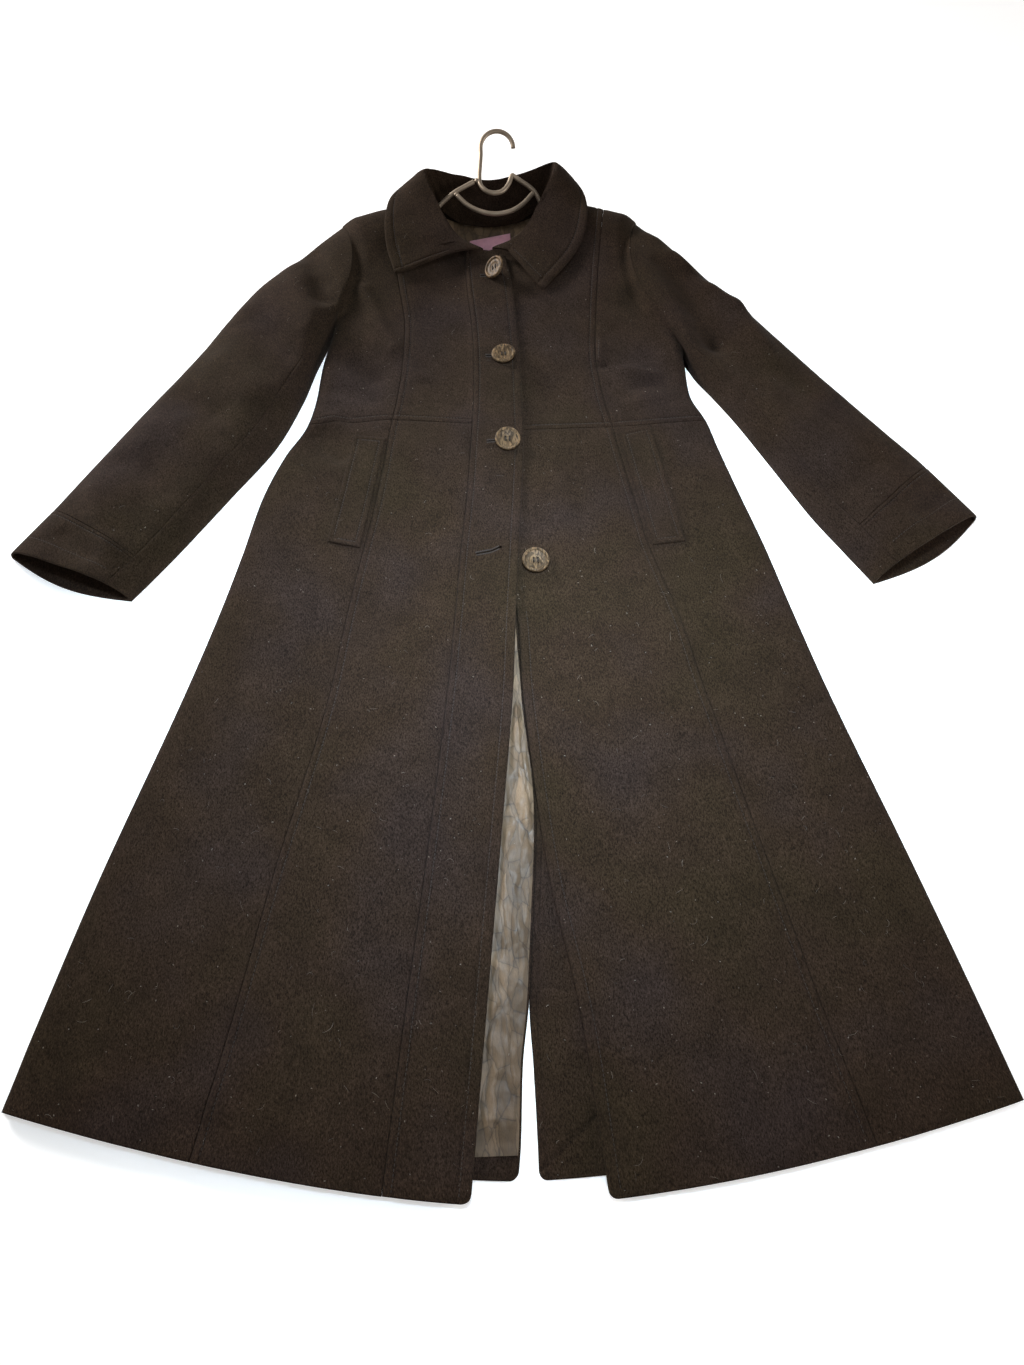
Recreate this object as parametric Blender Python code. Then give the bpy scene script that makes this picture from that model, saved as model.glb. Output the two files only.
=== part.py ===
"""A long A-line wool coat lying on its back, buttoned at the chest, on a metal tube hanger.

Sizes are in millimetres. Tables give places by their x, positive towards the wearer's left,
and by how far down the coat they lie from the shoulders, positive towards the hem.
The finished part lies on the ground with the collar towards +Y and its front facing up.
"""
import math

import bmesh
import bpy
from mathutils import Matrix, Vector
from mathutils.bvhtree import BVHTree

MM = 0.001
CENTRE_X = -7.0
MID_X = -4.0
MID_DOWN = 507.0

# Cloth and seams
WOOL = 3.0
LINING = 1.0
LABEL = 1.0
SEAM_GAP = 0.3
LAP_RISE = WOOL + 1.4
LAP_START = 15.0
LAP_RAMP = 12.0
FLOOR_RIM = 1.0
STEEPEST = 2.6

# Body: seam lines at each distance down the coat, wearer's right is -x
BODY_COLUMNS = ("down", "right_side", "right_princess", "band_seam", "right_edge",
                "left_edge", "left_princess", "left_side")
BODY = (
    (-45, -203, -146, -44, 6, -36, 150, 192),
    (60, -204, -132, -41, 13, -33, 135, 198),
    (120, -205, -124, -38, 20, -30, 128, 206),
    (180, -206, -116, -33, 23, -27, 122, 220),
    (240, -216, -117, -31, 25, -25, 118, 227),
    (300, -221, -123, -32, 25, -25, 122, 229),
    (340, -230, -129, -34, 25, -25, 128, 243),
    (380, -250, -134, -37, 24, -22, 133, 251),
    (440, -270, -141, -41, 20, -15, 143, 264),
    (520, -285, -154, -49, 14, -3, 155, 282),
    (600, -302, -167, -55, 8, 9, 175, 297),
    (700, -327, -181, -64, 1, 12, 193, 317),
    (870, -374, -218, -83, -17, 27, 226, 357),
    (1000, -405, -243, -99, -31, 49, 252, 386),
    (1140, -437, -272, -115, -46, 62, 283, 416),
)
WAIST = {"right_side": 336, "right_princess": 333, "band_seam": 341,
         "left_edge": 352, "left_princess": 350, "left_side": 342}
HEM_DOWN = 1135.0
HEM_HALF = 415.0
HEM_SWEEP = {"right": (78.0, 1.55), "left": (65.0, 1.7)}
BACK_SHORTER = 17.0

# Loft of the front over the ground: crown on the middle line, rise towards the sides
LOFT_COLUMNS = ("down", "crown", "rise")
LOFT = (
    (-45, 27, 12),
    (50, 21, 16),
    (120, 19, 15),
    (200, 16.5, 7),
    (340, 13, 1),
    (450, 11, 0),
    (600, 9.8, 0),
    (800, 9.2, 0),
    (1140, 8.4, 0),
)
RISE_HALF = 200.0
PAD_HEIGHT = 17.0
PAD_X = 132.0
PAD_DOWN = -12.0
PAD_SPREAD = 52.0
EDGE_ROLL = 18.0
BODICE_SPREAD = 1.2
BACK_SPREAD = 1.35
BACK_NECK_FADE = 6
BACK_NECK_SHARE = 0.4
FRONT_NECK_SHARE = 0.42
ARMHOLE_GAP = 0.9
ARMHOLE_RISE = 3

# Shoulder and neck
SHOULDER_COLUMNS = ("x", "down")
SHOULDER = ((-208, -17), (-142, -36), (-84, -48), (-8, -62), (70, -48), (132, -35), (195, -19))
SHOULDER_ROLL = 86.0
SHOULDER_POWER = 3.0
NECK_LIFT = 20.0
NECK_LIFT_REACH = 38.0
NECK_LIFT_IN = (30.0, 76.0)
NECK_LIFT_OUT = (84.0, 180.0)
NECK_COLUMNS = ("x", "down")
NECK_RIGHT = ((-88, -46.6), (-84, -22), (-72, 6), (-54, 34), (-41.3, 47))
NECK_BAND = ((-41.3, 47), (-27, 48), (-12, 50), (10, 61))
NECK_LEFT = ((74, -46.6), (70, -22), (58, 6), (40, 31), (6, 49), (-36, 49))
BACK_NECK = ((-88, -46.6), (-66, -36), (-8, -25), (52, -36), (74, -46.6))

# Soft folds of the front: a trough or ridge from one place to another
FOLD_COLUMNS = ("x0", "down0", "x1", "down1", "height", "width")
FOLDS = (
    (-196, 150, -150, 270, -5.0, 16),
    (-182, 200, -120, 214, 3.0, 22),
    (-218, 372, -180, 345, -4.0, 18),
    (196, 165, 226, 262, 4.0, 13),
    (176, 150, 206, 300, -4.0, 13),
    (146, 255, 215, 285, -3.0, 20),
    (60, 300, 150, 322, -2.0, 26),
    (-300, 700, -352, 980, 1.4, 40),
    (-170, 760, -200, 1060, -1.2, 45),
    (150, 700, 165, 1050, 1.2, 45),
    (300, 760, 345, 1030, -1.3, 42),
)

# Sleeves: outer and inner edge of each section, its bow at the armhole and its height
SLEEVE_COLUMNS = ("outer_x", "outer_down", "inner_x", "inner_down", "bow", "height")
SLEEVE = {
    "right": (
        (-208, -17, -206, 180, 24, 38),
        (-258, 46, -224, 240, 12, 39),
        (-313, 108, -238, 296, 3, 34),
        (-366, 212, -263, 364, 0, 31),
        (-416, 302, -306, 434, 0, 29),
        (-466, 392, -348, 501, 0, 27),
        (-500, 454, -374, 540, 0, 26),
        (-533, 512, -396, 571, 0, 28),
    ),
    "left": (
        (195, -19, 230, 230, 38, 38),
        (238, 46, 238, 262, 20, 40),
        (287, 114, 257, 296, 6, 35),
        (343, 198, 280, 340, 0, 32),
        (396, 281, 309, 404, 0, 30),
        (450, 361, 341, 476, 0, 28),
        (487, 418, 366, 522, 0, 27),
        (525, 489, 393, 570, 0, 30),
    ),
}
SLEEVE_POWER = 3.0
SLEEVE_FRONT_SEAM = 0.85
SLEEVE_BACK_SEAM = 0.12
CUFF_SHARE = 6 / 7
CUFF_LIP = 12.0

# Collar: seam, roll and edge of each section, from the right front round the back
COLLAR_COLUMNS = ("seam_x", "seam_down", "seam_z", "roll_x", "roll_down", "roll_z",
                  "edge_x", "edge_down", "edge_z")
COLLAR = (
    (-16, 57, 33, -54, 66, 36, -129, 103, 31),
    (-46, 38, 36, -62, 34, 44, -141, 56, 40),
    (-66, 4, 41, -74, -8, 53, -143, 4, 49),
    (-80, -30, 40, -89, -46, 62, -134, -40, 46),
    (-74, -40, 22, -86, -69, 60, -108, -82, 30),
    (-48, -28, 9, -50, -67, 53, -62, -94, 14),
    (-8, -20, 6, -6, -63, 47, -6, -92, 8),
    (34, -28, 9, 38, -67, 53, 50, -95, 14),
    (60, -40, 22, 79, -78, 62, 100, -88, 30),
    (66, -30, 40, 78, -50, 64, 119, -42, 46),
    (52, 4, 41, 58, -8, 53, 122, 8, 46),
    (32, 36, 36, 42, 28, 44, 106, 66, 38),
    (-5, 55, 33, 16, 65, 36, 58, 132, 29),
)
COLLAR_STEPS = 4
COLLAR_ACROSS = 9
COLLAR_ROLL_FULL = 0.34
COLLAR_REACH = 9.0
COLLAR_CLEAR = 2.8

# Pockets, buttons and holes
WELT_COLUMNS = ("top_in_x", "top_in_down", "top_out_x", "top_out_down",
                "low_out_x", "low_out_down", "low_in_x", "low_in_down")
WELTS = {
    "right": (-134, 363, -171, 357, -193, 507, -157, 517),
    "left": (137, 361, 173, 350, 195, 516, 159, 520),
}
BUTTON_RADIUS = 14.5
BUTTON_THICK = 4.6
BUTTON_DISH = 10.4
BUTTON_DEEP = 1.7
BUTTON_ROUND = 1.2
THREAD_HOLE = 1.5
THREAD_HOLE_PLACE = 3.4
BUTTON_COLUMNS = ("x", "down", "tip_x", "tip_y")
BUTTONS = (
    (-3, 96, 18, -34),
    (5, 239, 2, -6),
    (6, 374, 14, 2),
    (31, 539, 10, 3),
)
BUTTONHOLE_LENGTH = 26.0
BUTTONHOLE_WIDTH = 1.6
SLOT_DEPTH = 40.0
BUTTONHOLE_COLUMNS = ("x", "down", "turn")
BUTTONHOLES = ((-7, 98, 4), (-3, 238, 5), (-4, 372, 3), (-19, 524, 11))

# Hanger tube
TUBE = 3.0
HOOK_COLUMNS = ("x", "down", "z")
HOOK_STEM = ((-16.5, -90, 65), (-18, -74, 58), (-19, -62, 54), (-18, -50, 50), (-10, -40, 47),
             (1, -37, 46), (12, -40, 47), (20, -50, 50), (24.5, -61, 54),
             (28, -60, 53.6), (36, -54, 51.5), (46, -49, 47.5), (55, -44, 42), (64, -34, 31),
             (72, -24, 23), (84, -13, 18), (110, -2, 12.5), (172, 10, 6.6))
HOOK_CENTRE = (5.5, -98, 69)
HOOK_RADIUS = 22.0
HOOK_TILT = 32.0
HOOK_TURN = 181.0
ARM = ((-25.4, -54, 51.6), (-40, -47.5, 48), (-54, -42.5, 43), (-68, -38, 34), (-80, -32, 26),
       (-98, -22, 18),
       (-124, -7, 12), (-184, 9, 6.6))
BAR = ((-50.1, -39.3, 43.0), (-36, -25, 38), (-18, -15, 35), (2, -11, 34),
       (22, -15, 35), (38, -25, 38), (51.9, -41.1, 42.0))

# Back and lining
VENT_COLUMNS = ("down", "right", "left")
VENT = ((-20, -8, -8), (300, 0, 0), (700, 12, 12), (808, 19, 19), (951, 9, 9), (992, 5, 5.6),
        (1033, -1, 7), (1093, -5, 8), (1125, -9, 8))
LINING_TOP = 566.0
LINING_FOOT = 1100.0
LINING_UNDER = 34.0
NECK_LINING_FOOT = 64.0
NECK_LABEL = (-34, 20, 2, 44)

COLOURS = {
    "wool": ((0.037, 0.028, 0.023), 0.95, 0.0),
    "lining": ((0.155, 0.122, 0.095), 0.45, 0.0),
    "label": ((0.38, 0.16, 0.24), 0.55, 0.0),
    "button": ((0.060, 0.032, 0.018), 0.18, 0.0),
    "hanger": ((0.42, 0.38, 0.35), 0.35, 1.0),
}


def place(x, down, z):
    """The point in the finished frame, in metres."""
    return Vector(((x - MID_X) * MM, (MID_DOWN - down) * MM, z * MM))


def smooth(table, column, key):
    """A smooth curve through one column of a table whose first column is the key."""
    keys = [row[0] for row in table]
    last = len(keys) - 1
    key = min(max(key, keys[0]), keys[last])
    i = 0
    while i < last - 1 and key > keys[i + 1]:
        i += 1

    def slope(k):
        a = max(k - 1, 0)
        b = min(k + 1, last)
        return (table[b][column] - table[a][column]) / (keys[b] - keys[a])

    span = keys[i + 1] - keys[i]
    t = (key - keys[i]) / span
    start = table[i][column]
    end = table[i + 1][column]
    return ((2 * t ** 3 - 3 * t ** 2 + 1) * start + (t ** 3 - 2 * t ** 2 + t) * span * slope(i)
            + (3 * t ** 2 - 2 * t ** 3) * end + (t ** 3 - t ** 2) * span * slope(i + 1))


def along(points, share):
    """The point at a share of the way through a list of points, on a smooth curve."""
    table = [(i,) + tuple(point) for i, point in enumerate(points)]
    key = share * (len(points) - 1)
    return [smooth(table, column + 1, key) for column in range(len(points[0]))]


def mix(a, b, share):
    """Each value of a moved towards b."""
    return [p + (q - p) * share for p, q in zip(a, b)]


def seam(name, down):
    """The x of a body seam at a distance down the coat."""
    return smooth(BODY, BODY_COLUMNS.index(name), down)


def hem(x):
    """How far down the front hem lies at x."""
    drop, power = HEM_SWEEP["right" if x < 0 else "left"]
    return HEM_DOWN - drop * (abs(x) / HEM_HALF) ** power


def back_hem(x):
    """The back hem, a little shorter in the middle as it lies."""
    return hem(x) - BACK_SHORTER * max(0.0, 1 - (x / HEM_HALF) ** 2)


def shoulder(x):
    """How far down the shoulder line lies at x."""
    return smooth(SHOULDER, 1, x)


def roll_share(distance):
    """How far the cloth has risen at a distance from the shoulder line, from 0 to 1."""
    reach = min(max(distance, 0.0) / SHOULDER_ROLL, 1.0)
    return math.sqrt(1 - (1 - reach) ** SHOULDER_POWER)


def ease(value):
    """A soft step from 0 to 1."""
    value = min(max(value, 0.0), 1.0)
    return value * value * (3 - 2 * value)


def back_lift(x, down):
    """How far the back is lifted off the ground by the hanger near the neck."""
    reach = 1 - (down - shoulder(x)) / NECK_LIFT_REACH
    off = abs(x - CENTRE_X)
    side = 1 - ease((off - NECK_LIFT_OUT[0]) / (NECK_LIFT_OUT[1] - NECK_LIFT_OUT[0]))
    middle = ease((off - NECK_LIFT_IN[0]) / (NECK_LIFT_IN[1] - NECK_LIFT_IN[0]))
    return NECK_LIFT * side * middle * min(max(reach, 0.0), 1.0) ** 1.5


def back_top(x, down):
    """The upper side of the back panels."""
    return back_lift(x, down) + WOOL


def fold_height(x, down):
    """The sum of the soft folds at a place."""
    total = 0.0
    for x0, down0, x1, down1, height, width in FOLDS:
        dx = x1 - x0
        dy = down1 - down0
        length = math.hypot(dx, dy)
        run = ((x - x0) * dx + (down - down0) * dy) / length
        off = ((x - x0) * dy - (down - down0) * dx) / length
        past = max(-run, run - length, 0.0)
        total += height * math.exp(-(off ** 2 + past ** 2) / (2 * width ** 2))
    return total


def front_height(x, down):
    """The upper side of the front, before it rolls down at its sides."""
    crown = smooth(LOFT, 1, down)
    rise = smooth(LOFT, 2, down) * min(1.0, (abs(x - CENTRE_X) / RISE_HALF) ** 2)
    pad_off = (abs(x - CENTRE_X) - PAD_X) ** 2 + (down - PAD_DOWN) ** 2
    pad = PAD_HEIGHT * math.exp(-pad_off / (2 * PAD_SPREAD ** 2))
    edge = back_top(x, shoulder(x)) + SEAM_GAP + FLOOR_RIM
    full = crown + rise + pad + fold_height(x, down)
    return edge + (full - edge) * roll_share(down - shoulder(x))


def lap_rise(x, down):
    """How much higher the right front lies where the left front is under it."""
    return LAP_RISE * ease((x - seam("left_edge", down) + LAP_START) / LAP_RAMP)


def sleeve_section(side, share):
    """The named values of a sleeve's section at a share of its length."""
    return dict(zip(SLEEVE_COLUMNS, along(SLEEVE[side], share)))


def sleeve_profile(w):
    """The rise of a flattened sleeve across its width."""
    return math.sqrt(max(0.0, 1 - abs(2 * w - 1) ** SLEEVE_POWER))


def sleeve_point(side, share, w, top, inset):
    """A point of a sleeve: w runs from the outer to the inner edge, inset goes into the wall."""
    s = sleeve_section(side, share)
    chord = Vector((s["inner_x"] - s["outer_x"], s["inner_down"] - s["outer_down"]))
    unit = chord.normalized()
    cross = Vector((unit.y, -unit.x))
    if cross.x * s["outer_x"] < 0:
        cross.negate()
    start = Vector((s["outer_x"], s["outer_down"])) + unit * inset
    spot = start + (chord - 2 * inset * unit) * w - cross * s["bow"] * 4 * w * (1 - w)
    if share == 0:
        spot += cross * SEAM_GAP
    if share == 1 and not top:
        spot += cross * CUFF_LIP * math.sin(math.pi * w)
    z = inset
    if top:
        z += (s["height"] - 2 * inset) * sleeve_profile(w)
    return spot.x, spot.y, z


def finish_mesh(name, verts, faces, material):
    """One object from points and faces, its faces pointing outward."""
    mesh = bpy.data.meshes.new(name)
    mesh.from_pydata(verts, [], faces)
    bm = bmesh.new()
    bm.from_mesh(mesh)
    bmesh.ops.recalc_face_normals(bm, faces=bm.faces)
    bm.to_mesh(mesh)
    bm.free()
    mesh.shade_smooth()
    mesh.set_sharp_from_angle(angle=math.radians(35))
    mesh.materials.append(MATERIALS[material])
    obj = bpy.data.objects.new(name, mesh)
    bpy.context.collection.objects.link(obj)
    return obj


def close_walls(name, outer, inner, material):
    """A closed wall between two grids of points that have the same rows."""
    rows = len(outer)
    cols = len(outer[0])
    verts = [p for row in outer for p in row] + [p for row in inner for p in row]
    far = rows * cols
    faces = []
    for r in range(rows - 1):
        for c in range(cols - 1):
            a = r * cols + c
            faces.append((a, a + 1, a + cols + 1, a + cols))
            faces.append((far + a, far + a + cols, far + a + cols + 1, far + a + 1))
    rim = [c for c in range(cols)]
    rim += [r * cols + cols - 1 for r in range(1, rows)]
    rim += [(rows - 1) * cols + c for c in range(cols - 2, -1, -1)]
    rim += [r * cols for r in range(rows - 2, 0, -1)]
    for a, b in zip(rim, rim[1:] + rim[:1]):
        faces.append((a, b, far + b, far + a))
    return finish_mesh(name, verts, faces, material)


def steepness(grid, r, c):
    """How much longer a vertical cut through the wall is than the wall is thick."""
    up = grid[max(r - 1, 0)][c]
    low = grid[min(r + 1, len(grid) - 1)][c]
    left = grid[r][max(c - 1, 0)]
    right = grid[r][min(c + 1, len(grid[0]) - 1)]
    slope = 0.0
    for a, b in ((up, low), (left, right)):
        run = math.hypot(b[0] - a[0], b[1] - a[1])
        slope += ((b[2] - a[2]) / max(run, 0.01)) ** 2
    return min(math.sqrt(1 + slope), STEEPEST)


def laid_panel(name, grid, floor, material="wool", thick=WOOL):
    """A cloth panel from its upper side; its lower side never sinks below the floor function."""
    outer = []
    inner = []
    for r, row in enumerate(grid):
        outer.append([])
        inner.append([])
        for c, (x, down, z) in enumerate(row):
            low = z - thick * steepness(grid, r, c)
            outer[-1].append(place(x, down, z))
            inner[-1].append(place(x, down, max(low, floor(x, down))))
    return close_walls(name, outer, inner, material)


def above_back(x, down):
    """The lowest place for cloth that lies on the back panels."""
    return back_top(x, down) + SEAM_GAP


def above_lining(x, down):
    """The lowest place for cloth that lies on the skirt lining."""
    return back_top(x, down) + LINING + 2 * SEAM_GAP


def edge_shares(width, flat, round_steps=4):
    """Shares across a panel that rolls down at its outer side, each with its height share."""
    roll = min(EDGE_ROLL / width, 0.5)
    shares = [(i * (1 - roll) / flat, 1.0) for i in range(flat + 1)]
    for i in range(1, round_steps + 1):
        angle = i * math.pi / 2 / round_steps
        shares.append((1 - roll * (1 - math.sin(angle)), math.cos(angle)))
    return shares


def nudge(share, count_from, count_to, width):
    """A share across a panel, kept half a seam gap from each end."""
    half = SEAM_GAP / 2 / width
    return count_from * half + share * (1 - count_from * half - count_to * half)


def skirt_grid(inner_seam, outer_seam, waist_in, waist_out, rolled, rows, flat):
    """The upper side of a skirt panel between two seams, from the waist to the hem."""
    grid = []
    for r in range(rows + 1):
        share = r / rows
        spots = []
        for name, waist in ((inner_seam, waist_in), (outer_seam, waist_out)):
            foot = hem(seam(name, HEM_DOWN - 40))
            down = waist + SEAM_GAP / 2 + (foot - waist) * share
            spots.append((seam(name, down), down))
        width = abs(spots[1][0] - spots[0][0])
        shares = edge_shares(width, flat) if rolled else [(i / flat, 1.0) for i in range(flat + 1)]
        row = []
        for across, level in shares:
            fit = nudge(across, 1, 0 if rolled else 1, width)
            x, down = mix(spots[0], spots[1], fit)
            if r == rows:
                down = hem(x)
            rim = above_back(x, down) + FLOOR_RIM
            row.append((x, down, rim + (front_height(x, down) - rim) * level))
        grid.append(row)
    return grid


def bodice_side_grid(side, rows, flat):
    """The upper side of a side bodice panel: shoulder, armhole and side seam to the waist."""
    princess = side + "_princess"
    outer = side + "_side"
    armpit = SLEEVE[side][0][3]
    top = SLEEVE[side][0][1]
    waist_in = WAIST[princess]
    waist_out = WAIST[outer]
    arm_share = (armpit - top) / (waist_out - top)
    start = seam(princess, -40)
    grid = []
    for r in range(rows + 1):
        share = (r / rows) ** BODICE_SPREAD
        down = shoulder(start) + (waist_in - SEAM_GAP / 2 - shoulder(start)) * share
        seam_x = start if down < shoulder(start) + 1 else seam(princess, down)
        spot_in = (seam_x, down)
        if share < arm_share:
            x, y, level_out = sleeve_point(side, 0, share / arm_share, True, 0)
        else:
            y = armpit + (waist_out - SEAM_GAP / 2 - armpit) * (share - arm_share) / (1 - arm_share)
            x = seam(outer, y)
            level_out = 0.0
        if share < arm_share:
            x -= math.copysign(ARMHOLE_GAP, x)
        width = abs(x - spot_in[0])
        row = []
        for across, level in edge_shares(width, flat):
            fit = nudge(across, 1, 0, width)
            px, py = mix(spot_in, (x, y), fit)
            rim = max(above_back(px, py) + FLOOR_RIM, level_out * fit ** ARMHOLE_RISE)
            full = front_height(px, py)
            row.append((px, py, rim + (max(full, rim) - rim) * level))
        grid.append(row)
    return grid


def bodice_grid(princess, outer, top_points, waist_in, rows, cols):
    """The upper side of a bodice panel beside the front opening, from the neck to the waist."""
    grid = []
    start = seam(princess, -40)
    shoulder_end = (start, shoulder(start))
    neck_point = top_points[0]
    inner_end = top_points[-1]
    for r in range(rows + 1):
        share = (r / rows) ** BODICE_SPREAD
        row = []
        for c in range(cols + 1):
            across = c / cols
            split = FRONT_NECK_SHARE
            if across <= split:
                px = start + (neck_point[0] - start) * across / split
                head = (px, shoulder(px))
            else:
                head = along(top_points, (across - split) / (1 - split))
            foot_out = (seam(princess, WAIST[princess]), WAIST[princess])
            foot_in = (seam(outer, waist_in), waist_in)
            foot = mix(foot_out, foot_in, across)
            down = head[1] + (foot[1] - SEAM_GAP / 2 - head[1]) * share
            left_down = shoulder_end[1] + (foot_out[1] - shoulder_end[1]) * share
            right_down = inner_end[1] + (foot_in[1] - inner_end[1]) * share
            x_out = start if left_down < shoulder_end[1] + 1 else seam(princess, left_down)
            x_in = seam(outer, right_down)
            line = x_out + (x_in - x_out) * across
            x_head_line = start + (seam(outer, inner_end[1]) - start) * across
            x = line + (head[0] - x_head_line) * (1 - share) ** 2
            x += math.copysign(SEAM_GAP / 2, x_in - x_out) * (1 - 2 * across)
            row.append((x, down, front_height(x, down)))
        grid.append(row)
    return grid


def band_grid(rows, cols):
    """The right front band, one strip from the neck to the hem that laps over the left front."""
    grid = []
    for r in range(rows + 1):
        share = r / rows
        row = []
        for c in range(cols + 1):
            across = c / cols
            head = along(NECK_BAND, across)
            foot = hem(seam("band_seam", HEM_DOWN) * (1 - across) + seam("right_edge", HEM_DOWN) * across)
            down = head[1] + (foot - head[1]) * share
            x_in = seam("band_seam", down) + SEAM_GAP / 2
            x_out = seam("right_edge", down)
            x = x_in + (x_out - x_in) * across
            row.append((x, down, front_height(x, down) + lap_rise(x, down)))
        grid.append(row)
    return grid


def lifted(grid):
    """A grid of the right front, raised where it nears the front that lies under it."""
    return [[(x, down, z + lap_rise(x, down)) for x, down, z in row] for row in grid]


def back_grid(side, rows, cols):
    """The upper side of one back panel, from the neck and shoulder to the hem."""
    sign = -1 if side == "right" else 1
    armpit = SLEEVE[side][0][3]
    top = SLEEVE[side][0][1]
    neck = BACK_NECK if side == "right" else tuple(reversed(BACK_NECK))
    grid = []
    for r in range(rows + 1):
        share = (r / rows) ** BACK_SPREAD
        row = []
        for c in range(cols + 1):
            across = c / cols
            split = BACK_NECK_SHARE
            if across <= split:
                head = along(neck, 0.5 - 0.5 * across / split)
            else:
                corner = neck[0]
                tip = (SLEEVE[side][0][0] - sign * SEAM_GAP, top)
                px = corner[0] + (tip[0] - corner[0]) * (across - split) / (1 - split)
                head = (px, shoulder(px))
            column = 1 if side == "right" else 2
            middle_down = head[1] + (back_hem(0) - head[1]) * share
            middle = smooth(VENT, column, middle_down) + sign * SEAM_GAP / 2
            total = back_hem(sign * HEM_HALF)
            side_down = top + (total - top) * share
            if side_down < armpit:
                outer, side_down, _ = sleeve_point(side, 0, (side_down - top) / (armpit - top), True, 0)
                outer -= sign * ARMHOLE_GAP
            else:
                outer = seam(side + "_side", side_down)
            x_line = middle + (outer - middle) * across
            x_vent = smooth(VENT, column, head[1])
            x_head = x_vent + (SLEEVE[side][0][0] - x_vent) * across
            x = x_line + (head[0] - x_head) * (1 - share) ** BACK_NECK_FADE
            down = head[1] + (back_hem(x) - head[1]) * share
            blend = across ** 2
            down = down + (side_down - down) * blend if share < 1 else back_hem(x)
            row.append((x, down, back_top(x, down)))
        grid.append(row)
    return grid


def sleeve_piece(name, side, spots, first, last, rows):
    """A piece of a sleeve: spots run round it as (w, on the top side) from edge to edge."""
    outer = []
    inner = []
    for r in range(rows + 1):
        share = first + (last - first) * r / rows
        outer.append([place(*sleeve_point(side, share, w, top, 0)) for w, top in spots])
        inner.append([place(*sleeve_point(side, share, w, top, WOOL)) for w, top in spots])
    return close_walls(name, outer, inner, "wool")


def arc_spots(start, end, steps):
    """Places across the top of a sleeve, closer together near its edges."""
    a = math.acos(1 - 2 * start)
    b = math.acos(1 - 2 * end)
    return [((1 - math.cos(a + (b - a) * i / steps)) / 2, True) for i in range(steps + 1)]


def make_sleeve(side):
    """Upper sleeve, cuff and under sleeve."""
    gap = SEAM_GAP / 2 / 150
    round_outer = [(SLEEVE_BACK_SEAM - gap, False), (0.04, False)]
    over = round_outer + arc_spots(0.0, SLEEVE_FRONT_SEAM - gap, 10)
    under = arc_spots(SLEEVE_FRONT_SEAM + gap, 1.0, 3)
    under += [(w, False) for w in (0.96, 0.75, 0.5, 0.28, SLEEVE_BACK_SEAM + gap)]
    cuff_gap = SEAM_GAP / 2 / 600
    sleeve_piece("sleeve_" + side + "_upper", side, over, 0, CUFF_SHARE - cuff_gap, 12)
    sleeve_piece("cuff_" + side, side, over, CUFF_SHARE + cuff_gap, 1, 3)
    sleeve_piece("sleeve_" + side + "_under", side, under, 0, 1, 14)


def make_tube(name, points, sides=8):
    """A round tube through points, with flat ends."""
    centres = [place(*p) for p in points]
    rings = []
    up = Vector((0, 0, 1))
    for i, centre in enumerate(centres):
        ahead = centres[min(i + 1, len(centres) - 1)] - centres[max(i - 1, 0)]
        ahead.normalize()
        side = ahead.cross(up).normalized()
        up = side.cross(ahead).normalized()
        ring = []
        for k in range(sides):
            angle = 2 * math.pi * k / sides
            ring.append(centre + (side * math.cos(angle) + up * math.sin(angle)) * TUBE * MM)
        rings.append(ring)
    verts = [v for ring in rings for v in ring]
    faces = []
    for i in range(len(rings) - 1):
        for k in range(sides):
            a = i * sides + k
            b = i * sides + (k + 1) % sides
            faces.append((a, b, b + sides, a + sides))
    faces.append(tuple(range(sides)))
    faces.append(tuple(range(len(verts) - sides, len(verts))))
    return finish_mesh(name, verts, faces, "hanger")


def tops_of(names):
    """Search trees of the named objects, to find how high they lie."""
    trees = []
    for name in names:
        mesh = bpy.data.objects[name].data
        verts = [v.co.copy() for v in mesh.vertices]
        trees.append(BVHTree.FromPolygons(verts, [tuple(p.vertices) for p in mesh.polygons]))
    return trees


def top_at(trees, x, y, reach=0.0):
    """The highest surface near a place, in metres, or None where there is none."""
    best = None
    for dx, dy in ((0, 0), (reach, 0), (-reach, 0), (0, reach), (0, -reach)):
        for tree in trees:
            hit = tree.ray_cast(Vector((x + dx, y + dy, 1.0)), Vector((0, 0, -1)))
            if hit[0] is not None:
                best = hit[0].z if best is None else max(best, hit[0].z)
    return best


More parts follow.
